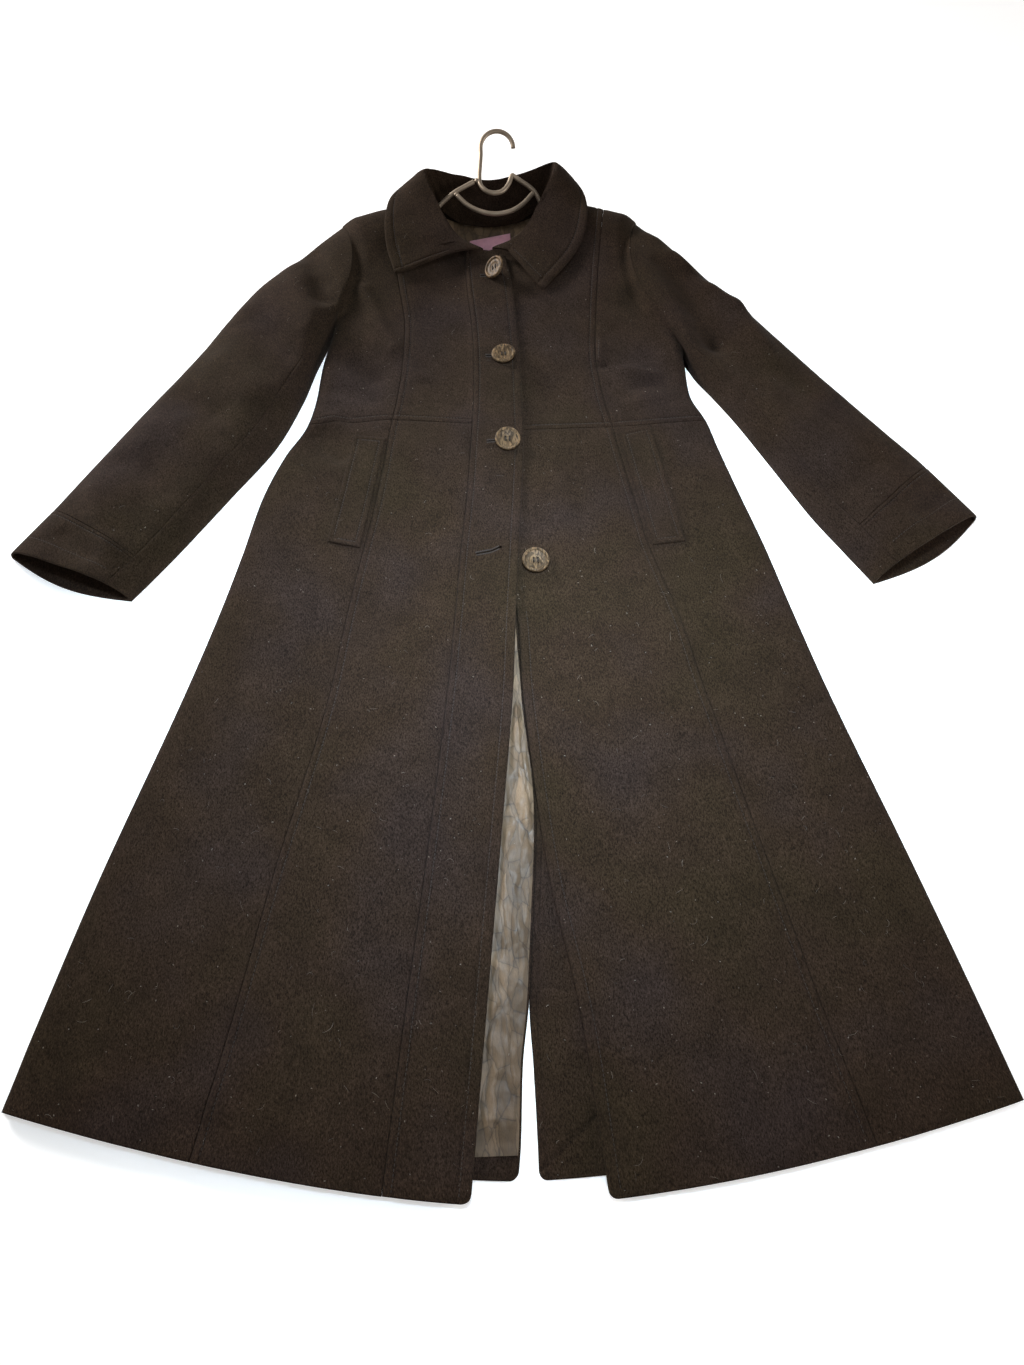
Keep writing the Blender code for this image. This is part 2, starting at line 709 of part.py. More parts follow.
def make_button(index, trees):
    """A dished button with four thread holes, settled just clear of the cloth."""
    x, down, tip_x, tip_y = BUTTONS[index]
    name = "button_" + str(index + 1)
    half = BUTTON_THICK / 2
    profile = ((0.0, -half), (BUTTON_RADIUS - BUTTON_ROUND * 1.6, -half),
               (BUTTON_RADIUS, -half + BUTTON_ROUND * 1.2), (BUTTON_RADIUS, half - BUTTON_ROUND),
               (BUTTON_RADIUS - BUTTON_ROUND, half), (BUTTON_DISH + BUTTON_ROUND, half),
               (BUTTON_DISH, half - BUTTON_DEEP), (0.0, half - BUTTON_DEEP))
    bm = bmesh.new()
    ring = [bm.verts.new((r * MM, 0, z * MM)) for r, z in profile]
    edges = [bm.edges.new(pair) for pair in zip(ring, ring[1:])]
    bmesh.ops.spin(bm, geom=ring + edges, cent=(0, 0, 0), axis=(0, 0, 1), angle=2 * math.pi, steps=20)
    bmesh.ops.remove_doubles(bm, verts=bm.verts, dist=1e-6)
    bmesh.ops.recalc_face_normals(bm, faces=bm.faces)
    mesh = bpy.data.meshes.new(name)
    bm.to_mesh(mesh)
    bm.free()
    mesh.shade_smooth()
    mesh.set_sharp_from_angle(angle=math.radians(35))
    mesh.materials.append(MATERIALS["button"])
    button = bpy.data.objects.new(name, mesh)
    bpy.context.collection.objects.link(button)
    cutter = bmesh.new()
    for sx in (-1, 1):
        for sy in (-1, 1):
            spot = Matrix.Translation((sx * THREAD_HOLE_PLACE * MM, sy * THREAD_HOLE_PLACE * MM, 0))
            bmesh.ops.create_cone(cutter, cap_ends=True, segments=6, radius1=THREAD_HOLE * MM,
                                  radius2=THREAD_HOLE * MM, depth=4 * BUTTON_THICK * MM, matrix=spot)
    add_cut(button, name + "_holes", cutter)
    turn = Matrix.Rotation(math.radians(tip_x), 4, "X") @ Matrix.Rotation(math.radians(tip_y), 4, "Y")
    at = place(x, down, 0)
    lift = 0.0
    for vert in mesh.vertices:
        spot = turn @ vert.co + at
        top = top_at(trees, spot.x, spot.y)
        lift = max(lift, top + SEAM_GAP * 1.5 * MM - spot.z)
    button.matrix_world = Matrix.Translation((at.x, at.y, lift)) @ turn
    bpy.data.objects[name + "_holes"].matrix_world = button.matrix_world


def add_cut(obj, name, bm):
    """Cut an object with the shapes in a mesh."""
    mesh = bpy.data.meshes.new(name)
    bm.to_mesh(mesh)
    bm.free()
    cutter = bpy.data.objects.new(name, mesh)
    bpy.context.collection.objects.link(cutter)
    cutter.hide_render = True
    cutter.display_type = "WIRE"
    cut = obj.modifiers.new(name, "BOOLEAN")
    cut.operation = "DIFFERENCE"
    cut.solver = "EXACT"
    cut.object = cutter


def cut_buttonholes(band):
    """The four slits in the right front band."""
    bm = bmesh.new()
    for x, down, turn in BUTTONHOLES:
        spot = Matrix.Translation(place(x, down, 15)) @ Matrix.Rotation(math.radians(turn), 4, "Z")
        size = Matrix.Diagonal((BUTTONHOLE_LENGTH * MM, BUTTONHOLE_WIDTH * MM, SLOT_DEPTH * MM, 1))
        bmesh.ops.create_cube(bm, size=1.0, matrix=spot @ size)
    add_cut(band, "buttonhole_cutter", bm)


def make_welt(side, trees):
    """A pocket welt lying on the side skirt panel."""
    corners = WELTS[side]
    across = 4
    rows = 10
    outer = []
    inner = []
    for r in range(rows + 1):
        share = r / rows
        left = mix(corners[0:2], corners[6:8], share)
        right = mix(corners[2:4], corners[4:6], share)
        outer.append([])
        inner.append([])
        for c in range(across + 1):
            x, down = mix(left, right, c / across)
            spot = place(x, down, 0)
            low = top_at(trees, spot.x, spot.y, 4 * MM) + 1.5 * SEAM_GAP * MM
            inner[-1].append(Vector((spot.x, spot.y, low)))
            outer[-1].append(Vector((spot.x, spot.y, low + WOOL * MM)))
    close_walls("pocket_welt_" + side, outer, inner, "wool")


def collar_curve(s, t):
    """A point of the collar's upper side: s along the neck, t from the seam over the roll."""
    row = along(COLLAR, s)
    seam_spot = Vector(row[0:3])
    roll_spot = Vector(row[3:6])
    edge_spot = Vector(row[6:9])
    if t < COLLAR_ROLL_FULL:
        k = t / COLLAR_ROLL_FULL
        control = seam_spot.lerp(roll_spot, 0.6)
        control.z += 3
        tip = roll_spot
        start = seam_spot
    else:
        k = (t - COLLAR_ROLL_FULL) / (1 - COLLAR_ROLL_FULL)
        start = roll_spot
        control = roll_spot.lerp(edge_spot, 0.30)
        control.z = roll_spot.z + 1.0
        tip = edge_spot
    return start * (1 - k) ** 2 + control * 2 * k * (1 - k) + tip * k ** 2


def grid_normal(grid, r, c):
    """The upward or neckward normal of a grid of points."""
    down = grid[min(r + 1, len(grid) - 1)][c] - grid[max(r - 1, 0)][c]
    right = grid[r][min(c + 1, len(grid[0]) - 1)] - grid[r][max(c - 1, 0)]
    return down.cross(right).normalized()


def make_collar(trees):
    """The turned-down collar, standing up round the back of the neck."""
    rows = (len(COLLAR) - 1) * COLLAR_STEPS
    grid = []
    for r in range(rows + 1):
        row = []
        for c in range(COLLAR_ACROSS + 1):
            row.append(place(*collar_curve(r / rows, c / COLLAR_ACROSS)))
        grid.append(row)
    under = []
    for r, row in enumerate(grid):
        under.append([])
        for c, spot in enumerate(row):
            normal = grid_normal(grid, r, c)
            under[-1].append(spot - normal * WOOL * MM)
    for r in range(rows + 1):
        for c in range(COLLAR_ACROSS + 1):
            need = 0.0
            for spot in (grid[r][c], under[r][c]):
                top = top_at(trees, spot.x, spot.y, COLLAR_REACH * MM)
                if top is not None:
                    need = max(need, top + COLLAR_CLEAR * MM - under[r][c].z)
            grid[r][c] = grid[r][c] + Vector((0, 0, need))
            under[r][c] = under[r][c] + Vector((0, 0, need))
            sink = 0.5 * MM - min(grid[r][c].z, under[r][c].z)
            if sink > 0:
                grid[r][c].z += sink
                under[r][c].z += sink
    close_walls("collar", grid, under, "wool")


def make_lining_skirt():
    """The strip of lining that shows between the fronts."""
    grid = []
    rows = 14
    cols = 3
    for r in range(rows + 1):
        down = LINING_TOP + (LINING_FOOT - LINING_TOP) * r / rows
        left = seam("right_edge", down) - LINING_UNDER
        right = smooth(VENT, 1, down) - 2
        row = []
        for c in range(cols + 1):
            x = left + (right - left) * c / cols
            row.append((x, down, WOOL + SEAM_GAP + LINING))
        grid.append(row)
    laid_panel("lining_skirt", grid, above_back, "lining", LINING)


def make_neck_pieces():
    """The lining below the back neck and the bare label on it."""
    grid = []
    for r in range(7):
        share = r / 6
        row = []
        for c in range(9):
            x, down = along(BACK_NECK, 0.32 + 0.36 * c / 8)
            down = down + 3 + (NECK_LINING_FOOT - down - 3) * share
            row.append((x, down, above_back(x, down) + LINING + SEAM_GAP))
        grid.append(row)
    laid_panel("lining_neck", grid, above_back, "lining", LINING)
    low_x, high_x, low_down, high_down = NECK_LABEL
    tag = []
    for r in range(4):
        down = low_down + (high_down - low_down) * r / 3
        row = []
        for c in range(4):
            x = low_x + (high_x - low_x) * c / 3
            row.append((x, down, above_lining(x, down) + LABEL + SEAM_GAP))
        tag.append(row)
    laid_panel("neck_label", tag, above_lining, "label", LABEL)


def make_hanger():
    """A bent tube hook with its left arm, a second arm and a curved cross bar."""
    tilt = math.radians(HOOK_TILT)
    hook = []
    for i in range(13):
        angle = math.pi + math.radians(HOOK_TURN) * (12 - i) / 12 * -1
        x = HOOK_CENTRE[0] + HOOK_RADIUS * math.cos(angle)
        rise = HOOK_RADIUS * math.sin(angle)
        hook.append((x, HOOK_CENTRE[1] - rise * math.cos(tilt), HOOK_CENTRE[2] + rise * math.sin(tilt)))
    make_tube("hanger_hook", hook + list(HOOK_STEM))
    make_tube("hanger_arm", ARM)
    make_tube("hanger_bar", BAR)


def make_body():
    """The back, the two fronts and the band."""
    for side in ("right", "left"):
        laid_panel("back_" + side, back_grid(side, 22, 8), back_lift)
        laid_panel("front_" + side + "_side_bodice", bodice_side_grid(side, 12, 5), above_back)
        side_skirt = skirt_grid(side + "_princess", side + "_side", WAIST[side + "_princess"],
                                WAIST[side + "_side"], True, 16, 4)
        laid_panel("front_" + side + "_side_skirt", side_skirt, above_back)
    right = bodice_grid("right_princess", "band_seam", NECK_RIGHT, WAIST["band_seam"], 12, 8)
    laid_panel("front_right_bodice", lifted(right), above_back)
    left = bodice_grid("left_princess", "left_edge", NECK_LEFT, WAIST["left_edge"], 12, 9)
    laid_panel("front_left_bodice", left, above_back)
    skirt = skirt_grid("band_seam", "right_princess", WAIST["band_seam"], WAIST["right_princess"],
                       False, 16, 5)
    laid_panel("front_right_skirt", lifted(skirt), above_lining)
    skirt = skirt_grid("left_edge", "left_princess", WAIST["left_edge"], WAIST["left_princess"],
                       False, 16, 6)
    laid_panel("front_left_skirt", skirt, above_lining)
    band = laid_panel("front_right_band", band_grid(32, 4), above_lining)
    return band


def make_materials():
    """One plain material for each finish."""
    made = {}
    for name, (colour, rough, metal) in COLOURS.items():
        material = bpy.data.materials.new(name)
        material.use_nodes = True
        shader = material.node_tree.nodes["Principled BSDF"]
        shader.inputs["Base Color"].default_value = (*colour, 1)
        shader.inputs["Roughness"].default_value = rough
        shader.inputs["Metallic"].default_value = metal
        made[name] = material
    return made


for old in list(bpy.data.objects):
    bpy.data.objects.remove(old, do_unlink=True)
MATERIALS = make_materials()
band_object = make_body()
for wearer_side in ("right", "left"):
    make_sleeve(wearer_side)
make_lining_skirt()
make_neck_pieces()
front_tops = tops_of([o.name for o in bpy.data.objects])
make_collar(front_tops)
for wearer_side in ("right", "left"):
    make_welt(wearer_side, front_tops)
for number in range(len(BUTTONS)):
    make_button(number, front_tops)
cut_buttonholes(band_object)
make_hanger()
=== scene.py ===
"""The looks of a long A-line wool coat that lies on its back with a tube hanger in its neck.

Sizes in the tables are in millimetres. Places are given by x, positive towards the wearer's
left, and by how far down the coat they lie from the shoulders, positive towards the hem.
"""
import math

import bmesh
import bpy
import numpy as np
from bpy.props import FloatProperty, FloatVectorProperty, IntProperty, PointerProperty
from mathutils import Matrix, Vector
from mathutils.bvhtree import BVHTree


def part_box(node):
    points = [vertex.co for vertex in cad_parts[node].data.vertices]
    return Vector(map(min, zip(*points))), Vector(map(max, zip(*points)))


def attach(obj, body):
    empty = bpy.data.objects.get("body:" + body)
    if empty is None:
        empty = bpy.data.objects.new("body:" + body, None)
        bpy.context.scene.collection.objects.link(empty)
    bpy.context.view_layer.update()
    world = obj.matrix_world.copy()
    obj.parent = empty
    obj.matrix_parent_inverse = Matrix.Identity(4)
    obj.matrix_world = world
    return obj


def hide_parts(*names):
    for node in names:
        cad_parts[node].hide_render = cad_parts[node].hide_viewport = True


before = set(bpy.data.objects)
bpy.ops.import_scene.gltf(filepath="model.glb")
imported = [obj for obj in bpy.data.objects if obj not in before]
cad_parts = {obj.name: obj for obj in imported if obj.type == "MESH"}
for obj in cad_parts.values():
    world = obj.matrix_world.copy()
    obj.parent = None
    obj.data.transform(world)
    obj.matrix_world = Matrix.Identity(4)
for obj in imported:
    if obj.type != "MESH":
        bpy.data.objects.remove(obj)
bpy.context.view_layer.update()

bl_info = {
    "name": "Long Coat Laid Flat",
    "version": (1, 0, 0),
    "blender": (4, 5, 0),
    "location": "3D View > Sidebar > Coat",
    "description": "Cloth, buttons, stitching and lint of a long wool coat on a tube hanger",
    "category": "Object",
}

MM = 0.001
CENTRE_X = -7.0
MID_X = -4.0
MID_DOWN = 507.0

# Cloth and seams
WOOL = 3.0
LINING = 1.0
LABEL = 1.0
SEAM_GAP = 0.3
JOIN_GAP = 0.1
LAP_RISE = WOOL + 1.4
FLOOR_RIM = 1.0
STEEPEST = 2.6
THINNEST = 0.4
NEAR_EDGE = (0.0, 0.3, 0.8, 1.5, 2.6, 4.2)
NEAR_STITCHES = (0.0, 0.3, 0.8, 1.5, 2.6, 4.2, 5.6, 6.3, 7.0, 7.7, 8.6, 10.4)
STITCH_INSET = 7.0
EDGE_STITCH_INSET = 9.5
SWELLING = 0.3
CORNER = 7.0
NEAR_EDGE_STITCHES = (0.0, 0.3, 0.8, 1.5, 2.6, 4.4, 6.6, 8.2, 8.9, 9.5, 10.1, 10.9, 12.8)

# Body: seam lines at each distance down the coat, wearer's right is -x
BODY_COLUMNS = ("down", "right_side", "right_princess", "band_seam", "right_edge",
                "left_edge", "left_princess", "left_side")
BODY = (
    (-45, -203, -146, -44, 6, -36, 150, 192),
    (60, -204, -132, -41, 13, -33, 135, 198),
    (120, -205, -124, -38, 20, -30, 128, 206),
    (180, -206, -116, -33, 23, -27, 122, 220),
    (240, -216, -117, -31, 25, -25, 118, 227),
    (300, -221, -123, -32, 25, -25, 122, 229),
    (340, -230, -129, -34, 25, -25, 128, 243),
    (380, -250, -134, -37, 24, -22, 133, 251),
    (440, -270, -141, -41, 20, -15, 143, 264),
    (520, -285, -154, -49, 14, -3, 155, 282),
    (600, -302, -167, -55, 8, 9, 175, 297),
    (700, -327, -181, -64, 1, 12, 193, 317),
    (870, -374, -218, -83, -17, 27, 226, 357),
    (1000, -405, -243, -99, -31, 49, 252, 386),
    (1140, -437, -272, -115, -46, 62, 283, 416),
)
WAIST = {"right_side": 336, "right_princess": 333, "band_seam": 341,
         "left_edge": 352, "left_princess": 350, "left_side": 342}
HEM_DOWN = 1135.0
HEM_HALF = 415.0
HEM_SWEEP = {"right": (78.0, 1.55), "left": (65.0, 1.7)}
HEM_FOLD = 46.0
BACK_SHORTER = 17.0
SKIRT_LAST = 15 / 16
BACK_LAST = (21 / 22) ** 1.35
SKIRT_LENGTH = 790.0
BAND_LENGTH = 1085.0
BAND_WIDTH = 60.0
BACK_LENGTH = 1140.0
BACK_WIDTH = 400.0
VENT_FINE_WIDTH = 70.0
FRONT_NECK_SHARE = 0.42
BACK_NECK_SHARE = 0.4

# Loft of the front over the ground: crown on the middle line, rise towards the sides
# Columns: down, crown, rise
LOFT = (
    (-45, 27, 12),
    (50, 21, 16),
    (120, 19, 15),
    (200, 16.5, 7),
    (340, 13, 1),
    (450, 11, 0),
    (600, 9.8, 0),
    (800, 9.2, 0),
    (1140, 8.4, 0),
)
RISE_HALF = 200.0
PAD_HEIGHT = 17.0
PAD_X = 132.0
PAD_DOWN = -12.0
PAD_SPREAD = 52.0
EDGE_ROLL = 18.0
ARMHOLE_GAP = 0.35
ARMHOLE_RISE = 3

# Shoulder and neck
# Columns: x, down
SHOULDER = ((-208, -17), (-142, -36), (-84, -48), (-8, -62), (70, -48), (132, -35), (195, -19))
SHOULDER_ROLL = 86.0
SHOULDER_POWER = 3.0
NECK_LIFT = 20.0
NECK_LIFT_REACH = 38.0
# Columns: x, down
NECK_RIGHT = ((-88, -46.6), (-84, -22), (-72, 6), (-54, 34), (-41.3, 47))
NECK_BAND = ((-41.3, 47), (-27, 48), (-12, 50), (10, 61))
NECK_LEFT = ((74, -46.6), (70, -22), (58, 6), (40, 27), (10, 40), (-36, 46))
BACK_NECK = ((-88, -50), (-66, -52), (-8, -46), (52, -52), (74, -50))

# Soft folds of the front: a trough or ridge from one place to another
# Columns: x0, down0, x1, down1, height, width
FOLDS = (
    (-196, 150, -150, 270, -5.0, 16),
    (-182, 200, -120, 214, 3.0, 22),
    (-218, 372, -180, 345, -4.0, 18),
    (196, 165, 226, 262, 4.0, 13),
    (176, 150, 206, 300, -4.0, 13),
    (146, 255, 215, 285, -3.0, 20),
    (60, 300, 150, 322, -2.0, 26),
    (-300, 700, -352, 980, 1.4, 40),
    (-170, 760, -200, 1060, -1.2, 45),
    (150, 700, 165, 1050, 1.2, 45),
    (300, 760, 345, 1030, -1.3, 42),
)
# Creases and dents that are too small for the folds above
CREASES = (
    (-168, 128, -128, 226, 1.5, 7),
    (-128, 226, -96, 268, 1.0, 6),
    (-186, 236, -150, 262, -1.4, 8),
    (-196, 286, -150, 300, -1.0, 8),
    (-212, 352, -186, 384, -2.2, 9),
    (-176, 352, -196, 330, 1.4, 7),
    (150, 262, 214, 276, 1.3, 6),
    (160, 288, 222, 268, -1.2, 6),
    (150, 318, 205, 300, 1.0, 7),
    (140, 200, 170, 236, -0.9, 10),
    (40, 200, 70, 290, -0.8, 22),
    (60, 110, 100, 190, 0.8, 18),
    (-80, 130, -64, 300, -0.7, 16),
    (-100, 420, -92, 560, -0.9, 18),
    (60, 400, 74, 520, 0.9, 16),
    (96, 420, 110, 560, -0.8, 16),
    (-240, 610, -262, 760, 0.8, 22),
    (-110, 640, -128, 860, 0.8, 20),
    (-330, 860, -300, 1010, -0.7, 20),
    (-200, 900, -150, 960, 0.6, 12),
    (92, 700, 120, 900, -0.7, 20),
    (236, 620, 262, 780, 0.8, 22),
    (110, 1010, 190, 1030, 0.6, 9),
    (330, 900, 300, 1000, 0.7, 18),
    (-300, 1040, -240, 1062, 0.5, 9),
    (-28, 640, -22, 760, -0.5, 10),
)
TUCK = (121, 214, 118, 246)
CREASE_LIFT = 3.2
SLEEVE_LIFT = 2.9

# Sleeves: outer and inner edge of each section, its bow at the armhole and its height
SLEEVE_COLUMNS = ("outer_x", "outer_down", "inner_x", "inner_down", "bow", "height")
SLEEVE = {
    "right": (
        (-208, -17, -206, 180, 24, 38),
        (-258, 46, -224, 240, 12, 39),
        (-313, 108, -238, 296, 3, 34),
        (-366, 212, -263, 364, 0, 31),
        (-416, 302, -306, 434, 0, 29),
        (-466, 392, -348, 501, 0, 27),
        (-500, 454, -374, 540, 0, 26),
        (-533, 512, -396, 571, 0, 28),
    ),
    "left": (
        (195, -19, 230, 230, 38, 38),
        (238, 46, 238, 262, 20, 40),
        (287, 114, 257, 296, 6, 35),
        (343, 198, 280, 340, 0, 32),
        (396, 281, 309, 404, 0, 30),
        (450, 361, 341, 476, 0, 28),
        (487, 418, 366, 522, 0, 27),
        (525, 489, 393, 570, 0, 30),
    ),
}
SLEEVE_POWER = 3.0
SLEEVE_FRONT_SEAM = 0.85
SLEEVE_BACK_SEAM = 0.12
CUFF_SHARE = 6 / 7
CUFF_LIP = 12.0
CUFF_STITCH = 30.0
SLEEVE_LENGTH = 600.0
SLEEVE_GIRTH = 150.0
SLEEVE_FOLDS = {
    "right": (
        (-236, 60, -214, 150, -3.0, 12),
        (-262, 90, -226, 196, 2.4, 13),
        (-250, 236, -300, 176, -2.2, 15),
        (-285, 300, -330, 250, 1.8, 14),
        (-330, 330, -372, 300, -1.6, 13),
        (-318, 400, -368, 352, 1.4, 13),
        (-372, 440, -418, 400, -1.4, 12),
        (-420, 520, -452, 440, 1.2, 10),
        (-470, 500, -440, 528, -1.3, 8),
        (-396, 300, -410, 380, 1.0, 16),
    ),
    "left": (
        (206, 30, 244, 96, 2.6, 12),
        (214, 92, 262, 118, -2.4, 10),
        (226, 84, 300, 170, 3.2, 9),
        (300, 170, 330, 262, 2.4, 11),
        (232, 120, 262, 226, -4.2, 14),
        (262, 226, 300, 300, -2.0, 14),
        (216, 40, 280, 62, 1.6, 9),
        (330, 262, 372, 330, -1.6, 16),
        (330, 380, 376, 330, 1.2, 14),
        (372, 470, 420, 420, -1.4, 12),
        (440, 470, 470, 436, 1.6, 7),
        (452, 500, 480, 462, -1.6, 7),
        (420, 520, 452, 500, 1.0, 8),
    ),
}

# Collar: seam, roll and edge of each section, from the right front round the back
# Columns: seam_x, seam_down, seam_z, roll_x, roll_down, roll_z, edge_x, edge_down, edge_z
COLLAR = (
    (-16, 57, 33, -54, 66, 36, -129, 103, 31),
    (-46, 38, 36, -62, 34, 44, -141, 56, 40),
    (-66, 4, 41, -74, -8, 53, -143, 4, 49),
    (-80, -30, 40, -89, -46, 62, -134, -40, 46),
    (-74, -40, 22, -86, -69, 60, -108, -82, 30),
    (-48, -28, 9, -50, -67, 53, -62, -94, 14),
    (-8, -20, 6, -6, -63, 47, -6, -92, 8),
    (34, -28, 9, 38, -67, 53, 50, -95, 14),
    (60, -40, 22, 79, -78, 62, 100, -88, 30),
    (66, -30, 40, 78, -50, 64, 119, -42, 46),
    (52, 4, 41, 58, -8, 53, 122, 8, 46),
    (32, 36, 36, 42, 28, 44, 106, 66, 38),
    (-5, 55, 33, 16, 65, 36, 58, 132, 29),
)
COLLAR_ROWS = 48
COLLAR_ACROSS = 9
COLLAR_ROLL_FULL = 0.34
COLLAR_REACH = 9.0
COLLAR_CLEAR = 2.8
COLLAR_STITCH = 0.925
COLLAR_LENGTH = 600.0
COLLAR_DEPTH = 95.0
COLLAR_CORNER = 3.5
COLLAR_HOLE = 0.035
COLLAR_WAVES = (620.0, 110.0)
COLLAR_DEEPEST = 2.6
COLLAR_FOLD = 0.42

# Pockets, buttons and holes
# Columns: top_in_x, top_in_down, top_out_x, top_out_down, low_out_x, low_out_down, low_in_x,
# low_in_down
WELTS = {
    "right": (-134, 363, -171, 357, -193, 507, -157, 517),
    "left": (137, 361, 173, 350, 195, 516, 159, 520),
}
WELT_STITCH = 6.0
WELT_THICK = 2.6
WELT_LENGTH = 158.0
WELT_WIDTH = 37.0
WELT_READINGS = (11, 5)
BUTTON_RADIUS = 14.5
BUTTON_CALM = 14.0
BUTTON_PROFILE = (
    (0.0, -2.3), (6.0, -2.3), (11.6, -2.3), (12.9, -1.9), (13.9, -1.1), (14.4, -0.1), (14.45, 0.6),
    (14.2, 1.4), (13.6, 2.0), (12.9, 2.3), (12.1, 2.28), (11.5, 2.0), (11.1, 1.5), (10.9, 1.0),
    (10.5, 0.8), (9.6, 0.72), (8.2, 0.7), (6.9, 0.62), (6.3, 0.4), (5.9, 0.2), (3.0, 0.1), (0.0, 0.1),
)
THREAD_HOLE = 1.1
THREAD_HOLE_PLACE = 2.3
THREAD_STEM = -5.5
# Columns: x, down, tip_x, tip_y
BUTTONS = (
    (-3, 96, 18, -40),
    (5, 239, 2, -6),
    (6, 374, 14, 2),
    (31, 539, 10, 3),
)
BUTTONHOLE_LENGTH = 26.0
BUTTONHOLE_SLIT = 1.1
BUTTONHOLE_EYE = 1.7
CUT_DEPTH = 40.0
# Columns: x, down, turn
BUTTONHOLES = ((-7, 98, 4), (-3, 238, 5), (-4, 372, 3), (-19, 524, 11))

# Hanger tube
TUBE = 3.0
# Columns: x, down, z
HOOK_STEM = ((-16.5, -90, 65), (-18, -74, 58), (-19, -62, 54), (-18, -50, 50), (-10, -40, 47),
             (1, -37, 46), (12, -40, 47), (20, -50, 50), (24.5, -61, 54),
             (28, -60, 53.6), (36, -54, 51.5), (46, -49, 47.5), (55, -44, 42), (64, -34, 31),
             (72, -24, 23), (84, -13, 18), (110, -2, 12.5), (172, 10, 6.6))
HOOK_CENTRE = (5.5, -98, 69)
HOOK_RADIUS = 22.0
HOOK_TILT = 32.0
HOOK_TURN = 181.0
ARM = ((-25.4, -54, 51.6), (-40, -47.5, 48), (-54, -42.5, 43), (-68, -38, 34), (-80, -32, 26),
       (-98, -22, 18), (-124, -7, 12), (-184, 9, 6.6))
ARM_WELD = (-22.2, -55, 51.9)
WELD = (3.5, 2.9)
BAR = ((-50.1, -39.3, 43.0), (-36, -25, 38), (-18, -15, 35), (2, -11, 34),
       (22, -15, 35), (38, -25, 38), (51.9, -41.1, 42.0))

# Back and lining
# Columns: down, right, left
VENT = ((-20, -8, -8), (300, 0, 0), (700, 12, 12), (808, 19, 19), (951, 9, 9), (992, 5, 5.6),
        (1033, -1, 7), (1093, -5, 8), (1125, -9, 8))
LINING_TOP = 566.0
LINING_FOOT = 1100.0
LINING_UNDER = 34.0
NECK_LINING_FOOT = 64.0
NECK_LABEL = (-34, 21, -3, 31)
LABEL_TILT = 0.27
# Columns: turn, size
CREASE_WAVES = ((-28, 5), (14, 8), (38, 4.5), (-62, 9), (3, 4), (66, 11), (-12, 12))
CREASE_EVENNESS = 0.62
CREASE_HIGHEST = 1.3
MITRE = (15, 1107, 49, 1080)
VENT_ROWS = 820.0
VENT_OPEN = 992.0
VENT_CLOSED_GAP = 0.01
BACK_FOLD = 975.0

# Thread and lint
STITCH = (0.28, 0.22)
BUTTONHOLE_STITCH = (0.36, 0.3)
STITCH_STEP = 0.002
BUTTONHOLE_STEP = 0.0015
LINT_X = 530.0
LINT_DOWN = (-60, 1130)

# Camera
LENS = 36 * 900 / 1365
CAMERA_X = -19.377
CAMERA_DOWN = 1103.34
CAMERA_Z = 800.0
CAMERA_RIGHT = (0.99943656, -0.03247552, 0.00847962)
CAMERA_UP = (0.02469792, 0.88264283, 0.46939498)

# Floor and lamps, in metres and degrees
FLOOR_REACH = 6.0
FLOOR_DROP = 0.0005
WARM = (1.0, 0.97, 0.94)
COOL = (0.66, 0.84, 1.0)
# Columns: name, spot, aim, size, spread, tint
LAMPS = (
    ("key", (-1.8, 1.7, 0.85), (0.0, 0.0, 0.0), 0.7, 180, WARM),
    ("fill", (0.3, -1.9, 1.6), (0.0, 0.0, 0.0), 1.6, 180, WARM),
    ("side", (1.7, -0.3, 0.6), (0.0, 0.0, 0.0), 0.6, 180, WARM),
    ("pool", (0.03, -0.12, 1.1), (0.03, -0.12, 0.0), 0.3, 60, COOL),
)
ABOVE = 0.2
DOWNWARD = Vector((0, 0, -1))

MADE = {}


class CoatCloth(bpy.types.PropertyGroup):
    """Sizes of the cloth's surface, its sewing and what clings to it."""
    point_step: FloatProperty(name="Point step", description="Distance between the cloth's points",
                              default=0.0042, min=0.002, unit="LENGTH")
    edge_round: FloatProperty(name="Edge rounding", description="Radius of a folded wool edge",
                              default=0.0013, unit="LENGTH")
    seam_dip: FloatProperty(name="Seam dip", description="How far the cloth sinks towards a seam",
                            default=0.0004, unit="LENGTH")
    stitch_dip: FloatProperty(name="Stitch dip", description="Depth of the groove under a stitch line",
                              default=0.0008, unit="LENGTH")
    waviness: FloatProperty(name="Waviness", description="Height of the cloth's broad soft waves",
                            default=0.0020, unit="LENGTH")
    crinkle: FloatProperty(name="Lining crinkle", description="Height of the lining's creases",
                           default=0.0050, unit="LENGTH")
    stitch_length: FloatProperty(name="Stitch length", description="Length of one stitch",
                                 default=0.0026, unit="LENGTH")
    stitch_pitch: FloatProperty(name="Stitch pitch", description="Distance from stitch to stitch",
                                default=0.0036, unit="LENGTH")
    fibres: IntProperty(name="Lint fibres", description="Number of loose hairs on the wool",
                        default=520, min=0)
    specks: IntProperty(name="Lint specks", description="Number of lint specks on the wool",
                        default=1500, min=0)


